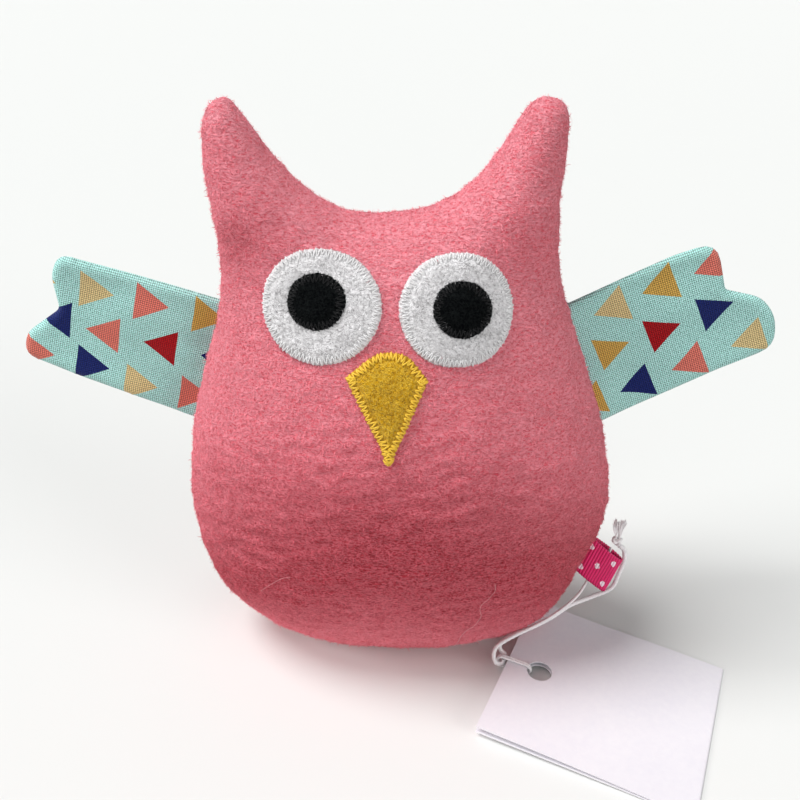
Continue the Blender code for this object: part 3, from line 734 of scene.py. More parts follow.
def add_light():
    for name, direction, strength, angle in LAMPS:
        data = bpy.data.lights.new(name, "SUN")
        data.energy = strength
        data.angle = math.radians(angle)
        add_piece(name, data).rotation_euler = direction.to_track_quat("Z", "Y").to_euler()
    world = bpy.data.worlds.new("world")
    bpy.context.scene.world = world
    world.use_nodes = True
    sky = Nodes(world.node_tree)
    background = sky.tree.nodes["Background"].inputs
    seen = sky.seen()
    sky.put(background["Color"], sky.mix(seen, WORLD_COLOUR, BACKDROP_COLOUR))
    sky.put(background["Strength"], sky.spread(seen, 0, 1, WORLD_STRENGTH, 1.0))
    bpy.context.scene.view_settings.view_transform = "Standard"


def add_floor():
    bm = bmesh.new()
    bmesh.ops.create_grid(bm, x_segments=1, y_segments=1, size=FLOOR_SIZE / 2)
    look = Look("floor", FLOOR_COLOUR, 0.7, 0.15)
    here = look.add("ShaderNodeNewGeometry").outputs["Position"]
    away = look.add("ShaderNodeVectorMath", {"Vector": here}, operation="LENGTH").outputs["Value"]
    bounce = look.mix(look.spread(away, *BOUNCE_REACH), FLOOR_BOUNCE, FAR_BOUNCE)
    material = look.made(look.mix(look.seen(), bounce, FLOOR_COLOUR))
    add_piece("floor", mesh_from("floor", bm), material)


# String, knot, hitch and tag


def add_string(material):
    route = [Vector(point) * MM for point in STRING_ROUTE_MM]
    shares = np.linspace(0, 1, STRING_RINGS)
    radii = STRING_DIAMETER / 2 * STRING_FLUFF * np.interp(shares, *STRING_TAPER)
    pile = Pile()
    pile.add(*tube(smooth_points(route, STRING_RINGS), radii.tolist(), sides=14, plies=2))
    obj = pile.piece("owl_string", material)
    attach(obj, "body")
    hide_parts("tag_string")
    return obj, smooth_points(route, STRING_PATH_POINTS)


def add_knot(material):
    """An overhand knot of the two ends, and their frayed tails."""
    pile = Pile()
    loop = []
    for step in range(96):
        t = math.tau * step / 96
        x = math.sin(t) + 2 * math.sin(2 * t)
        z = 0.85 * (math.cos(t) - 2 * math.cos(2 * t))
        loop.append(KNOT_AT + Vector((x, 1.2 * math.sin(3 * t), z)) * KNOT_SIZE)
    pile.add(*tube(loop, KNOT_STRAND, sides=12, closed=True, plies=2, pitch=KNOT_PLY_PITCH))
    shuffle = np.random.default_rng(7)
    radii = [TAIL_FIBRE * (1 - 0.35 * step / 9) for step in range(10)]
    for side in (-1, 1):
        for _ in range(TAIL_FIBRES):
            off = shuffle.normal(0, 1, 3)
            foot = KNOT_AT + Vector((side * 0.30 + 0.10 * off[2], 0.12 * off[1], 0.3)) * MM
            waist = KNOT_AT + Vector((side * 0.42 + 0.13 * off[0], 0.14 * off[1], 2.0)) * MM
            tip_x = side * 0.75 + 0.55 * off[0]
            tip = KNOT_AT + Vector((tip_x, 0.40 * off[1], 6.0 + 0.5 * off[2])) * MM
            middle = waist.lerp(tip, 0.5) + Vector((0.12 * off[1], 0.1 * off[0], 0)) * MM
            pile.add(*tube(smooth_points([foot, waist, middle, tip], 10), radii, sides=5))
    obj = pile.piece("owl_string_knot", material)
    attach(obj, "body")
    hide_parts("string_knot")
    return obj


def add_hitch(material):
    """Two strands of the string round the card's margin and through its hole."""
    pile = Pile()
    middle = HITCH_RADIUS + STRING_DIAMETER / 2
    straight = (HITCH_TO - HITCH_FROM) / 2 - HITCH_RADIUS
    for lane in (-1, 1):
        line = []
        for step in range(60):
            angle = math.tau * (step + 0.5) / 60
            x = (HITCH_FROM + HITCH_TO) / 2 + math.copysign(straight, math.cos(angle))
            x += HITCH_RADIUS * math.cos(angle)
            close = 0.72 + 0.28 * math.cos(angle - math.pi)
            y = HOLE_AT.y + lane * HITCH_SPREAD * close
            line.append(TAG_FRAME @ Vector((x, y, middle + HITCH_RADIUS * math.sin(angle))))
        line = smooth_points(line, 110, closed=True)
        pile.add(*tube(line, HITCH_STRAND, sides=10, closed=True, plies=2))
    obj = pile.piece("owl_string_hitch", material)
    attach(obj, "tag")
    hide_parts("string_hitch")
    return obj


def card_heights(x, y):
    """The middles of both leaves' thickness above the floor, with the card's own slight bow."""
    share = x / TAG_WIDTH
    up = y / TAG_HEIGHT
    half = CARD_THICKNESS / 2
    arch = math.sin(math.pi * share)
    low = (TAG_LIFT + half) * (1 - share) + half * share + LOWER_BOW * arch
    high = (TAG_LIFT + TAG_OPENING + CARD_THICKNESS + half) * (1 - share) + 3 * half * share
    high += NEAR_CORNER * (1 - share) ** 2 * (1 - up) ** 2
    high += FAR_CORNER * max(0, 1 - share * 2.2) ** 2 * max(0, up - 0.45) ** 2
    return low, high + UPPER_BOW * arch


def add_tag(material):
    """One card folded at its far side, the hole punched through both leaves, and left blank."""
    fold_x = TAG_WIDTH - CARD_THICKNESS
    flat = [fold_x * step / TAG_COLUMNS for step in range(TAG_COLUMNS + 1)]
    turns = [math.pi * (step / FOLD_STEPS - 0.5) for step in range(1, FOLD_STEPS)]
    lines = [(x, -1) for x in flat]
    lines += [(fold_x + CARD_THICKNESS * math.cos(turn), math.sin(turn)) for turn in turns]
    lines += [(x, 1) for x in reversed(flat)]
    points = []
    for x, side in lines:
        for row in range(TAG_ROWS + 1):
            y = TAG_HEIGHT * row / TAG_ROWS
            low, high = card_heights(min(x, fold_x), y)
            points.append((x, y, (low + high) / 2 + (high - low) / 2 * side))
    mesh = mesh_of("owl_tag", points, grid_faces(len(lines), TAG_ROWS + 1))
    obj = add_piece("owl_tag", mesh, material)
    thick = obj.modifiers.new("card", "SOLIDIFY")
    thick.thickness = CARD_THICKNESS
    thick.offset = 0
    bm = bmesh.new()
    bmesh.ops.create_cone(
        bm,
        cap_ends=True,
        segments=64,
        radius1=HOLE_RADIUS,
        radius2=HOLE_RADIUS,
        depth=TAG_HEIGHT,
        matrix=Matrix.Translation(HOLE_AT),
    )
    punch = add_piece("punch", mesh_from("punch", bm))
    cut = obj.modifiers.new("hole", "BOOLEAN")
    cut.solver = "EXACT"
    cut.object = punch
    settle(obj)
    bpy.data.objects.remove(punch)
    obj.data.transform(TAG_FRAME)
    obj.data.set_sharp_from_angle(angle=math.radians(40))
    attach(obj, "tag")
    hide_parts("swing_tag")
    return obj


# Body


def solid_form():
    """The filling's solid, grown by the cover's thickness."""
    bm = bmesh.new()
    bm.from_mesh(frame["nodes"]["stuffing"].data)
    bmesh.ops.remove_doubles(bm, verts=bm.verts, dist=MM / 1000)
    bm.normal_update()
    for vert in bm.verts:
        vert.co += vert.normal * COVER
    return mesh_from("owl_body", bm)


def evened(mesh, values, rounds):
    """Values at the vertices, each averaged with those of its neighbours."""
    ends = values_of(mesh.edges, "vertices", 2, int)
    first, second = ends[:, 0], ends[:, 1]
    count = len(mesh.vertices)
    links = np.bincount(ends.ravel(), minlength=count)
    for _ in range(rounds):
        total = np.bincount(first, values[second], count)
        total += np.bincount(second, values[first], count)
        values = (values + total / np.maximum(links, 1)) / 2
    return values


def fit_to_panels(mesh):
    """Brings the form out or in to the panels' outer faces, without copying their facets."""
    bm = bmesh.new()
    for node in ("front_panel", "back_panel"):
        bm.from_mesh(frame["nodes"][node].data)
    panels = BVHTree.FromBMesh(bm)
    bm.free()
    off = []
    for vert in mesh.vertices:
        start = vert.co + vert.normal * FIT_REACH
        distance = panels.ray_cast(start, -vert.normal, 2 * FIT_REACH)[3]
        off.append(0 if distance is None else FIT_REACH - distance)
    off = evened(mesh, np.array(off), FIT_ROUNDS)
    set_coords(mesh, coords_of(mesh) + normals_of(mesh) * off[:, None])


def remeshed(name, mesh, voxel, rounds):
    obj = add_piece(name, mesh)
    finer = obj.modifiers.new("finer", "SUBSURF")
    finer.levels = finer.render_levels = 1
    even = obj.modifiers.new("even", "REMESH")
    even.mode = "VOXEL"
    even.voxel_size = voxel
    calm = obj.modifiers.new("calm", "SMOOTH")
    calm.factor = 0.5
    calm.iterations = rounds
    settle(obj)
    return obj


def behind_seam(places):
    """How far each place lies behind the seam's plane."""
    lean = np.array(INTO_LEAN)
    return places @ lean[1, :3] + lean[1, 3]


def swell(obj):
    """Blows a cloth up a little, held at the seam and the base. Gives back where each point was
    and how far it moved."""
    scene = bpy.context.scene
    before = coords_of(obj.data)
    held = (np.abs(behind_seam(before)) < SWELL_VOXEL / 2) | (before[:, 2] < MM)
    obj.vertex_groups.new(name="pins").add(np.flatnonzero(held).tolist(), 1.0, "REPLACE")
    cloth = obj.modifiers.new("cloth", "CLOTH")
    cloth.settings.use_pressure = True
    cloth.settings.uniform_pressure_force = SWELL_PRESSURE
    cloth.settings.effector_weights.gravity = 0
    cloth.settings.vertex_group_mass = "pins"
    cloth.settings.quality = 6
    cloth.point_cache.frame_start = 1
    cloth.point_cache.frame_end = SWELL_FRAMES
    for step in range(1, SWELL_FRAMES + 1):
        scene.frame_set(step)
    graph = bpy.context.evaluated_depsgraph_get()
    moved = coords_of(obj.evaluated_get(graph).data) - before
    scene.frame_set(1)
    far = np.linalg.norm(moved, axis=1, keepdims=True)
    moved *= np.minimum(1, SWELL_CAP / np.maximum(far, 1e-9))
    return before, moved


def carried(places, before, moved):
    """How far each place moves along with the nearest simulated points."""
    finder = KDTree(len(before))
    for index, place in enumerate(before):
        finder.insert(place, index)
    finder.balance()
    result = np.zeros((len(places), 3))
    for index, place in enumerate(places):
        total = 0.0
        for _, found, distance in finder.find_n(place, SWELL_NEAR):
            share = 1 / (distance + 0.1 * MM)
            result[index] += moved[found] * share
            total += share
        result[index] /= total
    return result


def crease_depths(places, body_tree, camera):
    """How deep the creases go at each place."""
    depths = np.zeros(len(places))
    for start, end, depth, width in BODY_CREASES:
        ends = [seen_on(body_tree, camera, pixel)[0] for pixel in (start, end)]
        if None in ends:
            continue
        first, last = (np.array(place) for place in ends)
        line = last - first
        share = np.clip((places - first) @ line / (line @ line), 0, 1)
        off = np.linalg.norm(places - first - share[:, None] * line, axis=1)
        fade = np.sin(np.pi * np.clip(share * 0.8 + 0.1, 0, 1))
        depths += depth * fade * np.exp(-((off / width) ** 2))
    return depths


def noise_at(places, size):
    """Noise at each place, its lumps of one size or of a size along each axis."""
    return np.array([noise.noise(Vector(place)) for place in places / size])


def write_painted_light(mesh, values):
    """Keeps each face corner's share of painted light, for the wool's material."""
    write_map(mesh, "facing", np.column_stack((values, np.zeros(len(values)))))


def add_body(material, camera):
    form = solid_form()
    loose = remeshed("swelling", form.copy(), SWELL_VOXEL, SWELL_ROUNDS)
    obj = remeshed("owl_body", form, SKIN_VOXEL, SKIN_ROUNDS)
    mesh = obj.data
    fit_to_panels(mesh)
    coords = coords_of(mesh)
    coords = coords + carried(coords, *swell(loose))
    set_coords(mesh, coords)
    bpy.data.objects.remove(loose)
    normals = normals_of(mesh)
    from_seam = behind_seam(coords)
    change = -SEAM_DEPTH * np.exp(-((from_seam / SEAM_WIDTH) ** 2))
    # The same on both sides of the seam, so that the puckers run into it
    puckers = noise_at(coords * (1, 0, 1), PUCKER_PITCH)
    change += PUCKER_DEPTH * puckers * np.exp(-np.abs(from_seam) / PUCKER_REACH)
    change += LUMP_HEIGHT * noise_at(coords, LUMP_SIZE)
    change += DIMPLE_HEIGHT * noise_at(coords, DIMPLE_SIZE)
    rising = np.interp(coords[:, 2], RIPPLE_HEIGHTS, RIPPLE_SHARES)
    for height, run, pitch in RIPPLES:
        change += height * rising * noise_at(coords, np.array((run, run, pitch)))
    change -= crease_depths(coords, tree_of(obj), camera)
    coords = coords + normals * change[:, None]
    coords[:, 2] = np.maximum(coords[:, 2], 0)
    set_coords(mesh, coords)
    # Painted light: the share of lit wool, from facing up, its sides and its height, evened out,
    # with ridges paler
    painted_light_share = normals[:, 2] + PAINTED_SIDE_LIGHT * np.abs(normals[:, 0])
    painted_light_share += np.interp(coords[:, 2], PAINTED_UPPER_LIGHT_HEIGHTS, (0, PAINTED_UPPER_LIGHT))
    ridges = evened(mesh, normals_of(mesh)[:, 2], RIDGE_ROUNDS)
    facing = evened(mesh, painted_light_share, FACING_ROUNDS)
    facing += PAINTED_RIDGE_LIGHT * (ridges - evened(mesh, ridges, FACING_ROUNDS))
    write_painted_light(mesh, facing[corner_verts(mesh)])
    mesh.materials.append(material)
    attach(obj, "body")
    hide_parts("front_panel", "back_panel", "stuffing")
    return obj


def painted_light_of(mesh, normals):
    """Each vertex's share of painted light: from the mesh's map where it has one, else how far it
    faces up.
    """
    if "facing" not in mesh.uv_layers:
        return normals[:, 2]
    facing = np.zeros(len(mesh.vertices))
    facing[corner_verts(mesh)] = values_of(mesh.uv_layers["facing"].data, "uv", 2, np.float32)[:, 0]
    return facing


def add_fuzz(name, source, material, count, length, width, seed, standing, keep):
    """Short fibres over a mesh, most of them lying flat and a share of them standing up."""
    mesh = source.data
    mesh.calc_loop_triangles()
    corners = values_of(mesh.loop_triangles, "vertices", 3, int)
    coords = coords_of(mesh)
    normals = normals_of(mesh)
    first, second, third = (coords[corners[:, index]] for index in range(3))
    areas = np.linalg.norm(np.cross(second - first, third - first), axis=1)
    shuffle = np.random.default_rng(seed)
    chosen = corners[shuffle.choice(len(corners), count, p=areas / areas.sum())]
    shares = shuffle.dirichlet((1, 1, 1), count)
    roots = (coords[chosen] * shares[:, :, None]).sum(1)
    ups = (normals[chosen] * shares[:, :, None]).sum(1)
    # The fibres carry the body's share of painted light
    facing = (painted_light_of(mesh, normals)[chosen] * shares).sum(1)
    kept = keep(roots)
    roots, ups, facing = roots[kept], ups[kept], facing[kept]
    total = len(roots)
    drift = shuffle.normal(0, 1, (total, 3)) - np.array((0, 0, FIBRE_DROOP))
    drift -= ups * (drift * ups).sum(1, keepdims=True)
    drift /= np.linalg.norm(drift, axis=1, keepdims=True)
    stands = shuffle.random(total) < standing
    rise = np.where(stands, shuffle.uniform(*STANDING_RISE, total), 0.0)
    rise = rise + shuffle.uniform(*FIBRE_RISE, total)
    lengths = length * shuffle.uniform(*FIBRE_SHARES, total)[:, None]
    aim = drift + ups * rise[:, None]
    aim /= np.linalg.norm(aim, axis=1, keepdims=True)
    turned = np.cross(ups, drift)
    curl = turned * shuffle.normal(0, FIBRE_CURL, total)[:, None]
    middle = roots + aim * lengths * 0.5 + ups * 0.05 * MM
    tip = roots + (aim * 0.9 + curl) * lengths * 0.95 + ups * 0.03 * MM
    flat = turned * width / 2
    sunk = roots - ups * ROOT_DEPTH
    points = np.stack((sunk - flat, sunk + flat, middle - flat, middle + flat, tip), axis=1)
    points[:, :, 2] = np.maximum(points[:, :, 2], 0)
    index = np.arange(total)[:, None] * 5
    loops = np.concatenate(((index + (0, 1, 3, 2)).ravel(), (index + (2, 3, 4)).ravel()))
    starts = np.concatenate((np.arange(total) * 4, total * 4 + np.arange(total) * 3))
    made = bpy.data.meshes.new(name)
    made.vertices.add(total * 5)
    made.vertices.foreach_set("co", points.astype(np.float32).ravel())
    made.loops.add(len(loops))
    made.loops.foreach_set("vertex_index", loops.astype(np.int32))
    made.polygons.add(total * 2)
    made.polygons.foreach_set("loop_start", starts.astype(np.int32))
    made.update(calc_edges=True)
    write_painted_light(made, np.concatenate((np.repeat(facing, 4), np.repeat(facing, 3))))
    made.validate()
    made.shade_smooth()
    return add_piece(name, made, material)


# Felt pieces


class Seat:
    """A flat frame that touches the body where a felt piece is sewn on."""

    def __init__(self, node, surface):
        coords = coords_of(frame["nodes"][node].data)
        middle = Vector(coords.mean(0))
        _, directions = np.linalg.eigh(np.cov((coords - coords.mean(0)).T))
        self.normal = Vector(directions[:, 0])
        if self.normal.y > 0:
            self.normal.negate()
        self.surface = surface
        start = middle + self.normal * RAY_START
        self.origin = surface.ray_cast(start, -self.normal)[0]
        self.up = (Vector((0, 0, 1)) - self.normal * self.normal.z).normalized()
        self.right = self.up.cross(self.normal)

    def flat(self, place):
        """A place in the row frame, as the seat's own two coordinates."""
        off = place - self.origin
        return Vector((off.dot(self.right), off.dot(self.up)))

    def at(self, across, along, height):
        start = self.origin + self.right * across + self.up * along + self.normal * RAY_START
        place, normal, _, _ = self.surface.ray_cast(start, -self.normal)
        return place + (normal * 0.5 + self.normal * 0.5).normalized() * height


def even_outline(corners, count):
    """A closed outline through corners as evenly spread points, each with its outward normal."""
    line = smooth_points([Vector((x, y, 0)) for x, y in corners], count, closed=True)
    pairs = zip(line, line[1:] + line[:1])
    if sum(first.x * second.y - second.x * first.y for first, second in pairs) < 0:
        line.reverse()
    result = []
    for step, point in enumerate(line):
        ahead = (line[(step + 1) % count] - line[step - 1]).normalized()
        result.append((point.xy, Vector((ahead.y, -ahead.x))))
    return result


def disc_corners(radius, stretch, seed):
    wobble = np.random.default_rng(seed).normal(0, 0.008, 12)
    corners = []
    for step in range(12):
        angle = math.tau * step / 12
        reach = radius * (1 + wobble[step])
        corners.append((reach * math.cos(angle) * stretch, reach * math.sin(angle)))
    return corners


def felt_height(inside, base):
    """The felt's upper face: rounded off at its edge and pressed down along its stitching."""
    inside = max(inside, 0)
    rounding = 1 - math.exp(-inside / FELT_EDGE)
    off = (inside - STITCH_DEPTH * 0.5) / (STITCH_DEPTH * 0.62)
    pressed = FELT_PRESS * math.exp(-(off**4))
    sunk = FELT_SUNK_EDGE * math.exp(-inside / (0.2 * MM))
    return base + FELT_THICKNESS * (rounding * (1 - pressed)) - sunk


def add_felt(node, seat, corners, base, slot_name, felt, thread, thread_radius, shift=(0, 0)):
    """A felt piece with a rounded edge, held down by a zigzag of thread."""
    name = f"owl_{node}"
    steps = FELT_STEPS
    outline = even_outline(corners, steps)
    length = sum((outline[step][0] - outline[step - 1][0]).length for step in range(steps))
    stitches = 2 * round(length / STITCH_STEP / 2)

    def seated(spot, height):
        return seat.at(spot.x + shift[0], spot.y + shift[1], height)

    scalloped = []
    for step, (point, out) in enumerate(outline):
        wave = math.cos(math.pi * stitches * step / steps)
        ragged = noise.noise(Vector((point.x, point.y, base)) / RAGGED_SIZE)
        scalloped.append((point - out * (SCALLOP * (1 + wave) + RAGGED_EDGE * ragged), out))
    middle = sum((point for point, _ in scalloped), Vector((0, 0))) / steps
    flat = [middle]
    for ring in FELT_RINGS:
        flat += [middle.lerp(point, ring) for point, _ in scalloped]
    rim = np.array([tuple(point) for point, _ in scalloped])
    points = []
    for place in flat:
        depth = math.sqrt(((rim - tuple(place)) ** 2).sum(1).min())
        grain = FELT_GRAIN * noise.noise(Vector((place.x, place.y, base)) / FELT_GRAIN_SIZE)
        points.append(seated(place, felt_height(depth, base) + grain))
    for place, out in scalloped:
        points.append(seated(place - out * FELT_UNDERCUT, base - FELT_SKIRT))
    faces = [(0, 1 + step, 1 + (step + 1) % steps) for step in range(steps)]
    grid = grid_faces(len(FELT_RINGS) + 1, steps, first=1, closed_columns=True)
    faces += [(face[0], face[3], face[2], face[1]) for face in grid]
    obj = add_piece(name, mesh_of(name, points, faces), felt)
    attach(obj, "body")
    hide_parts(node)

    shuffle = np.random.default_rng(len(name))
    turns = []
    for stitch in range(stitches):
        place = (stitch + shuffle.uniform(-0.25, 0.25)) / stitches
        point, out = outline[int(place * steps) % steps]
        if stitch % 2:
            turns.append(point - out * STITCH_DEPTH * shuffle.uniform(0.72, 1.12))
        else:
            turns.append(point + out * STITCH_OVERHANG * shuffle.uniform(-3.0, 2.2))
    route = []
    for start, end in zip(turns, turns[1:] + turns[:1]):
        for share in (0.0, 0.18, 0.5, 0.82):
            spot = start.lerp(end, share)
            gaps = ((spot - point, out) for point, out in outline[::2])
            gap, side = min((off.length, off.dot(out)) for off, out in gaps)
            height = base if side > 0 else felt_height(gap, base)
            lift = thread_radius * (shuffle.uniform(0.7, 1.1) if share else -0.8)
            route.append(seated(spot, height + lift))
    pile = Pile()
    pile.add(*tube(route, thread_radius, sides=6, closed=True))
    sewn = pile.piece(name + "_stitching", thread)
    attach(sewn, "body")
    return obj


# Wings


def wing_frame(side):
    """The wing's own frame: X out from its hinge, Y up along it, Z towards the viewer."""
    joint = next(joint for joint in frame["joints"] if joint["child"] == f"{side}_wing")
    up = Vector(joint["axis"]) * (1 if side == "left" else -1)
    towards = (LEAN_FRAME.to_3x3() @ Vector((0, -1, 0))).normalized()
    out = up.cross(towards) * (-1 if side == "left" else 1)
    turn = Matrix((out, up, towards)).transposed().to_4x4()
    return Matrix.Translation(Vector(joint["pos_m"])) @ turn


def wing_outline(side, place):
    """The outline of the wing's solid, in its own frame, with its root carried into the body."""
    bm = bmesh.new()
    bm.from_mesh(frame["nodes"][f"{side}_wing_front"].data)
    bmesh.ops.transform(bm, matrix=place.inverted(), verts=bm.verts)
    bmesh.ops.remove_doubles(bm, verts=bm.verts, dist=MM / 1000)
    bm.normal_update()
    faced = [face for face in bm.faces if face.normal.z > 0.9]
    links = {}
    for face in faced:
        for loop in face.loops:
            if sum(other in faced for other in loop.edge.link_faces) == 1:
                links[loop.vert.index] = loop.link_loop_next.vert.index
    bm.verts.ensure_lookup_table()
    start = next(iter(links))
    order = [start]
    while links[order[-1]] != start:
        order.append(links[order[-1]])
    outline = [bm.verts[index].co.xy.copy() for index in order]
    bm.free()
    return [
        Vector((-WING_TUCK, point.y)) if point.x < -0.5 * MM else point for point in outline
    ]


def densified(line, step):
    points = []
    for start, end in zip(line, line[1:] + line[:1]):
        parts = max(1, round((end - start).length / step))
        points += [start.lerp(end, part / parts) for part in range(parts)]
    return points


def inside_of(point, polygon):
    hit = False
    for start, end in zip(polygon, polygon[1:] + polygon[:1]):
        if (start.y > point.y) != (end.y > point.y):
            cross = start.x + (point.y - start.y) * (end.x - start.x) / (end.y - start.y)
            if point.x < cross:
                hit = not hit
    return hit


def print_triangles(rows, mirror):
    """The printed triangles' corners. On the back they are mirrored and shifted."""
    made = []
    reach = TRIANGLE_EDGE / math.sqrt(3)
    for colour, out, along, turn in rows:
        centre = Vector((out, along)) * MM
        if mirror:
            centre = Vector((centre.x + BACK_PRINT_SHIFT, BACK_PRINT_HEIGHT - centre.y))
            turn = -turn
        angles = [math.radians(turn) + math.tau * corner / 3 for corner in range(3)]
        corners = [centre + Vector((math.cos(at), math.sin(at))) * reach for at in angles]
        made.append((colour, corners))
    return made


def ring_edges(first, count):
    return [(first + index, first + (index + 1) % count) for index in range(count)]


def cloth_layer(outline, triangles):
    """The wing's outline filled with small faces that follow the printed triangles' edges."""
    cell = WING_CELL
    points = list(outline)
    edges = ring_edges(0, len(outline))
    for _, corners in triangles:
        ring = densified(corners, cell)
        edges += ring_edges(len(points), len(ring))
        points += ring
    border = np.array([tuple(point) for point in points])
    low, high = border.min(0), border.max(0)
    shuffle = np.random.default_rng(3)
    for row, y in enumerate(np.arange(low[1], high[1], cell)):
        for x in np.arange(low[0] + (row % 2) * cell / 2, high[0], cell):
            spot = Vector((x, y)) + Vector(shuffle.uniform(-0.08, 0.08, 2)) * cell
            crowded = np.min(((border - np.array(spot)) ** 2).sum(1)) < (0.45 * cell) ** 2
            if not crowded and inside_of(spot, outline):
                points.append(spot)
    places, _, found, *_ = geometry.delaunay_2d_cdt(points, edges, [], 0, 1e-7)
    faces = []
    for face in found:
        centre = sum((places[index] for index in face), Vector((0, 0))) / len(face)
        if not inside_of(centre, outline):
            continue
        colour = "aqua"
        for name, corners in triangles:
            if inside_of(centre, corners):
                colour = name
        faces.append((tuple(face), colour))
    used = sorted({index for face, _ in faces for index in face})
    renamed = {old: new for new, old in enumerate(used)}
    faces = [(tuple(renamed[index] for index in face), colour) for face, colour in faces]
    return [Vector(places[old]) for old in used], faces


def rim_distances(places, outline):
    """Distance from each place to the nearest side of the closed outline."""
    starts = np.array([tuple(point) for point in outline])
    sides = np.roll(starts, -1, axis=0) - starts
    offsets = np.array([tuple(place) for place in places])[:, None, :] - starts[None]
    along = (offsets * sides).sum(2) / (sides**2).sum(1)
    gaps = offsets - np.clip(along, 0, 1)[..., None] * sides
    return np.sqrt((gaps**2).sum(2)).min(1)


def wing_folds(place, side):
    """Soft waves of the unstuffed cloth, larger near the root."""

    def waves(height, out, along, seed):
        return height * noise.noise(Vector((place.x / out, place.y / along, seed)))

    seed = 2 if side == "left" else 7
    root = math.exp(-max(place.x, 0) / PLEAT_REACH)
    return waves(*WING_WAVES, seed) + root * waves(*WING_PLEATS, seed + 2)


def wing_height(place, from_edge, side, facing):
    """A layer's height: thin at the rim, with the ridge and puckers of the sewn edge."""
    swell_share = math.sqrt(1 - (1 - min(from_edge / WING_EDGE, 1)) ** 2)
    ridge = WING_RIDGE * math.exp(-(((from_edge - WING_RIDGE_AT) / WING_RIDGE_WIDTH) ** 2))
    bumps = noise.noise(Vector((place.x, place.y, 0)) / WING_PUCKER_PITCH)
    pucker = WING_PUCKER * math.exp(-from_edge / WING_PUCKER_REACH) * bumps
    height = WING_SWELL * swell_share
    height += (ridge + pucker) * (1 - math.exp(-from_edge / (0.35 * MM)))
    return height * facing + wing_folds(place, side) * min(1, from_edge / (6 * MM) + 0.45)


def add_wing(side, rows, materials):
    """Two printed layers, sewn together, turned out and left without filling."""
    place = wing_frame(side)
    outline = densified(wing_outline(side, place), 0.8 * MM)
    names = list(PRINT_COLOURS)
    points, faces, colours, flats = [], [], [], []
    for facing in (1, -1):
        spots, cells = cloth_layer(outline, print_triangles(rows, mirror=facing < 0))
        first = len(points)
        for spot, inside in zip(spots, rim_distances(spots, outline)):
            from_edge = inside if spot.x > -WING_TUCK * 0.6 else WING_EDGE * 3
            height = wing_height(spot, from_edge, side, facing)
            points.append(tuple(place @ Vector((spot.x, spot.y, height))))
            flats.append(tuple(spot))
        for cell, colour in cells:
            faces.append(tuple(index + first for index in cell[::facing]))
            colours.append(names.index(colour))
    mesh = bpy.data.meshes.new(f"owl_{side}_wing")
    mesh.from_pydata(points, [], faces)
    mesh.polygons.foreach_set("material_index", colours)
    write_map(mesh, "weave", np.array(flats)[corner_verts(mesh)])
    bm = bmesh.new()
    bm.from_mesh(mesh)
    bmesh.ops.remove_doubles(bm, verts=bm.verts, dist=0.02 * MM)
    bmesh.ops.recalc_face_normals(bm, faces=bm.faces)
    bm.to_mesh(mesh)
    bm.free()
    mesh.shade_smooth()
    obj = add_piece(f"owl_{side}_wing", mesh, *(materials[name] for name in names))
    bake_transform(obj)
    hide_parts(f"{side}_wing_front", f"{side}_wing_back")


# Ribbon tab and loose threads


def add_ribbon(material):
    """A ribbed strip folded back on itself, both its ends in the side seam."""
    along = Vector((math.sin(RIBBON_TILT), 0, math.cos(RIBBON_TILT)))
    out = Vector((math.cos(RIBBON_DROOP), 0, -math.sin(RIBBON_DROOP)))
    loop = [*RIBBON_FOLD, *((reach, -opening) for reach, opening in RIBBON_FOLD[-2::-1])]
    route = [Vector((reach * RIBBON_REACH, opening * RIBBON_OPENING, 0)) for reach, opening in loop]
    line = smooth_points(route, RIBBON_LINES)
    points, flats = [], []
    length = 0.0
    for step, spot in enumerate(line):
        ahead = line[min(step + 1, RIBBON_LINES - 1)] - line[max(step - 1, 0)]
        ahead.normalize()
        out_of = Vector((ahead.y, -ahead.x, 0))
        if step:
            length += (spot - line[step - 1]).length
        crest = math.cos(math.tau * length / RIB_PITCH)
        for column in range(RIBBON_COLUMNS + 1):
            share = column / RIBBON_COLUMNS - 0.5
            wave = RIBBON_WAVE * noise.noise(Vector((length / (3 * MM), share * 3, 1)))
            edge = RIB_OVERHANG * crest * (abs(share) > 0.49)
            moved = spot + out_of * (RIB_HEIGHT * crest + wave)
            width = share * (RIBBON_WIDTH + 2 * edge)
            place = RIBBON_AT + out * moved.x + Vector((0, moved.y, 0)) + along * width
            points.append(LEAN_FRAME @ place)
            flats.append((share * RIBBON_WIDTH, length))
    mesh = mesh_of("owl_ribbon", points, grid_faces(RIBBON_LINES, RIBBON_COLUMNS + 1))
    write_map(mesh, "weave", np.array(flats)[corner_verts(mesh)])
    obj = add_piece("owl_ribbon", mesh, material)
    woven = obj.modifiers.new("woven", "SOLIDIFY")
    woven.thickness = RIBBON_THICKNESS
    woven.offset = 0
    settle(obj)
    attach(obj, "body")
    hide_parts("ribbon_tab")


def add_loose_threads(surface, camera, material):
    pile = Pile()
    for pixels, radius in LOOSE_THREADS:
        route = []
        for pixel in pixels:
            place, normal = seen_on(surface, camera, pixel)
            if place:
                route.append(place + normal * THREAD_LIFT)
        pile.add(*tube(smooth_points(route, 12 * len(route)), radius, sides=5))
    obj = pile.piece("owl_loose_threads", material)
    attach(obj, "body")


# The whole object


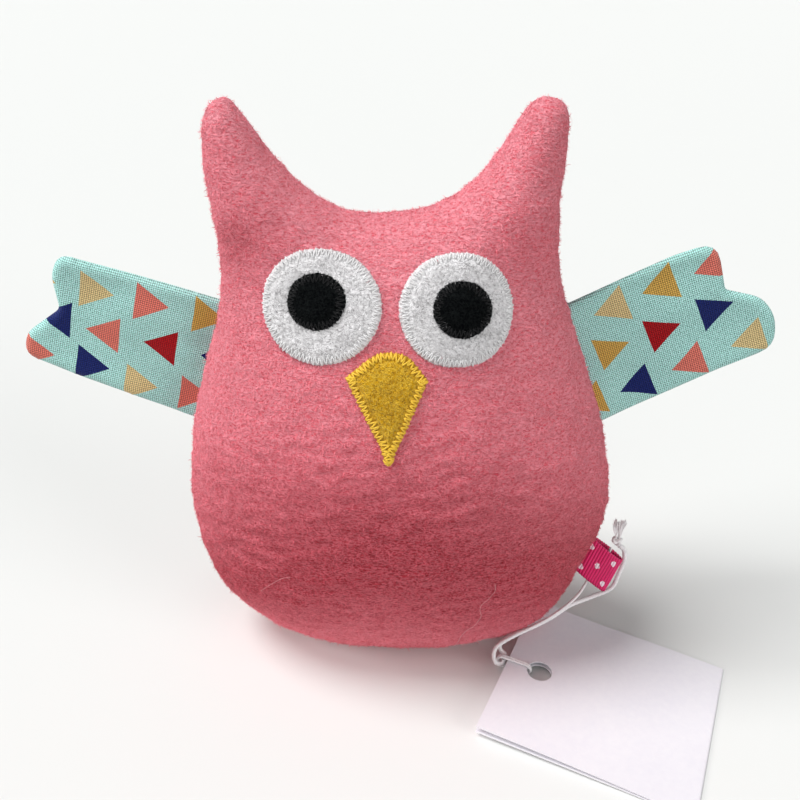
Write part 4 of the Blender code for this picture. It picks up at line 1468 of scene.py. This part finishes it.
def main():
    camera = add_camera()
    add_light()
    add_floor()

    string = string_material()
    cord, path = add_string(string)
    knot = add_knot(string)
    hitch = add_hitch(string)
    tag = add_tag(card_material())

    body = add_body(wool_material("pink_wool", *PINK_WOOL), camera)
    surface = tree_of(body)

    # Each felt: slot, felt, thread and the thread's radius
    thread = thread_material("white_thread", (0.92, 0.91, 0.91))
    white = ("white_felt", felt_material("white_felt", *WHITE_FELT), thread, 0.13 * MM)
    thread = thread_material("black_thread", (0.005, 0.005, 0.006), 0.10)
    black = ("black_felt", felt_material("black_felt", *BLACK_FELT, 0.01), thread, 0.10 * MM)
    thread = thread_material("gold_thread", (0.95, 0.60, 0.030), 0.5)
    mustard = ("mustard_felt", felt_material("mustard_felt", *MUSTARD_FELT), thread, 0.19 * MM)
    pupil_base = FELT_BASE + FELT_THICKNESS * 0.95
    sewn_on = {}
    for side, stretch, seed in (("left", 1.09, 5), ("right", 1.02, 11)):
        eye, pupil = f"{side}_eye", f"{side}_pupil"
        seat = Seat(eye, surface)
        low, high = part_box(pupil)
        shift = seat.flat((low + high) / 2)
        disc = disc_corners(EYE_RADIUS, stretch, seed)
        sewn_on[eye] = add_felt(eye, seat, disc, FELT_BASE, *white)
        disc = disc_corners(PUPIL_RADIUS, PUPIL_STRETCH, seed + 1)
        sewn_on[pupil] = add_felt(pupil, seat, disc, pupil_base, *black, shift=shift)
    corners = [(x * MM, y * MM) for x, y in BEAK_OUTLINE_MM]
    sewn_on["beak"] = add_felt("beak", Seat("beak", surface), corners, FELT_BASE, *mustard)

    fuzz = wool_material("pink_fuzz", *PINK_FUZZ, bumpy=False)
    clearings = [(np.array(Seat(node, surface).origin), reach) for node, reach in CLEARINGS]

    def clear_of_felt(roots):
        kept = roots[:, 2] > LOWEST_FIBRE
        for middle, reach in clearings:
            kept &= np.linalg.norm(roots - middle, axis=1) > reach
        return kept

    for name, *fibre in BODY_FIBRES:
        fibres = add_fuzz(name, body, fuzz, *fibre, clear_of_felt)
        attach(fibres, "body")

    for node, (slot_name, felt, _, _), count, seed, reach in (
        ("left_eye", white, 3000, 31, EYE_RADIUS - STITCH_DEPTH),
        ("right_eye", white, 3000, 32, EYE_RADIUS - STITCH_DEPTH),
        ("left_pupil", black, 500, 33, PUPIL_RADIUS),
        ("right_pupil", black, 500, 34, PUPIL_RADIUS),
        ("beak", mustard, 1400, 35, 4.0 * MM),
    ):
        source = sewn_on[node]
        middle = coords_of(source.data).mean(0)

        def near_middle(roots):
            return np.linalg.norm(roots - middle, axis=1) < reach

        fibre = (count, FIBRE_LENGTH, FIBRE_WIDTH, seed, FIBRES_STANDING)
        fibres = add_fuzz(source.name + "_fibres", source, felt, *fibre, near_middle)
        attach(fibres, "body")

    cotton = {
        name: cotton_material(f"{name}_cotton", colour, 0.4 if name == "aqua" else 0.75)
        for name, colour in PRINT_COLOURS.items()
    }
    add_wing("left", LEFT_PRINT, cotton)
    add_wing("right", RIGHT_PRINT, cotton)

    add_ribbon(ribbon_material())
    add_loose_threads(surface, camera, thread_material("pale_thread", (0.84, 0.42, 0.45)))


main()
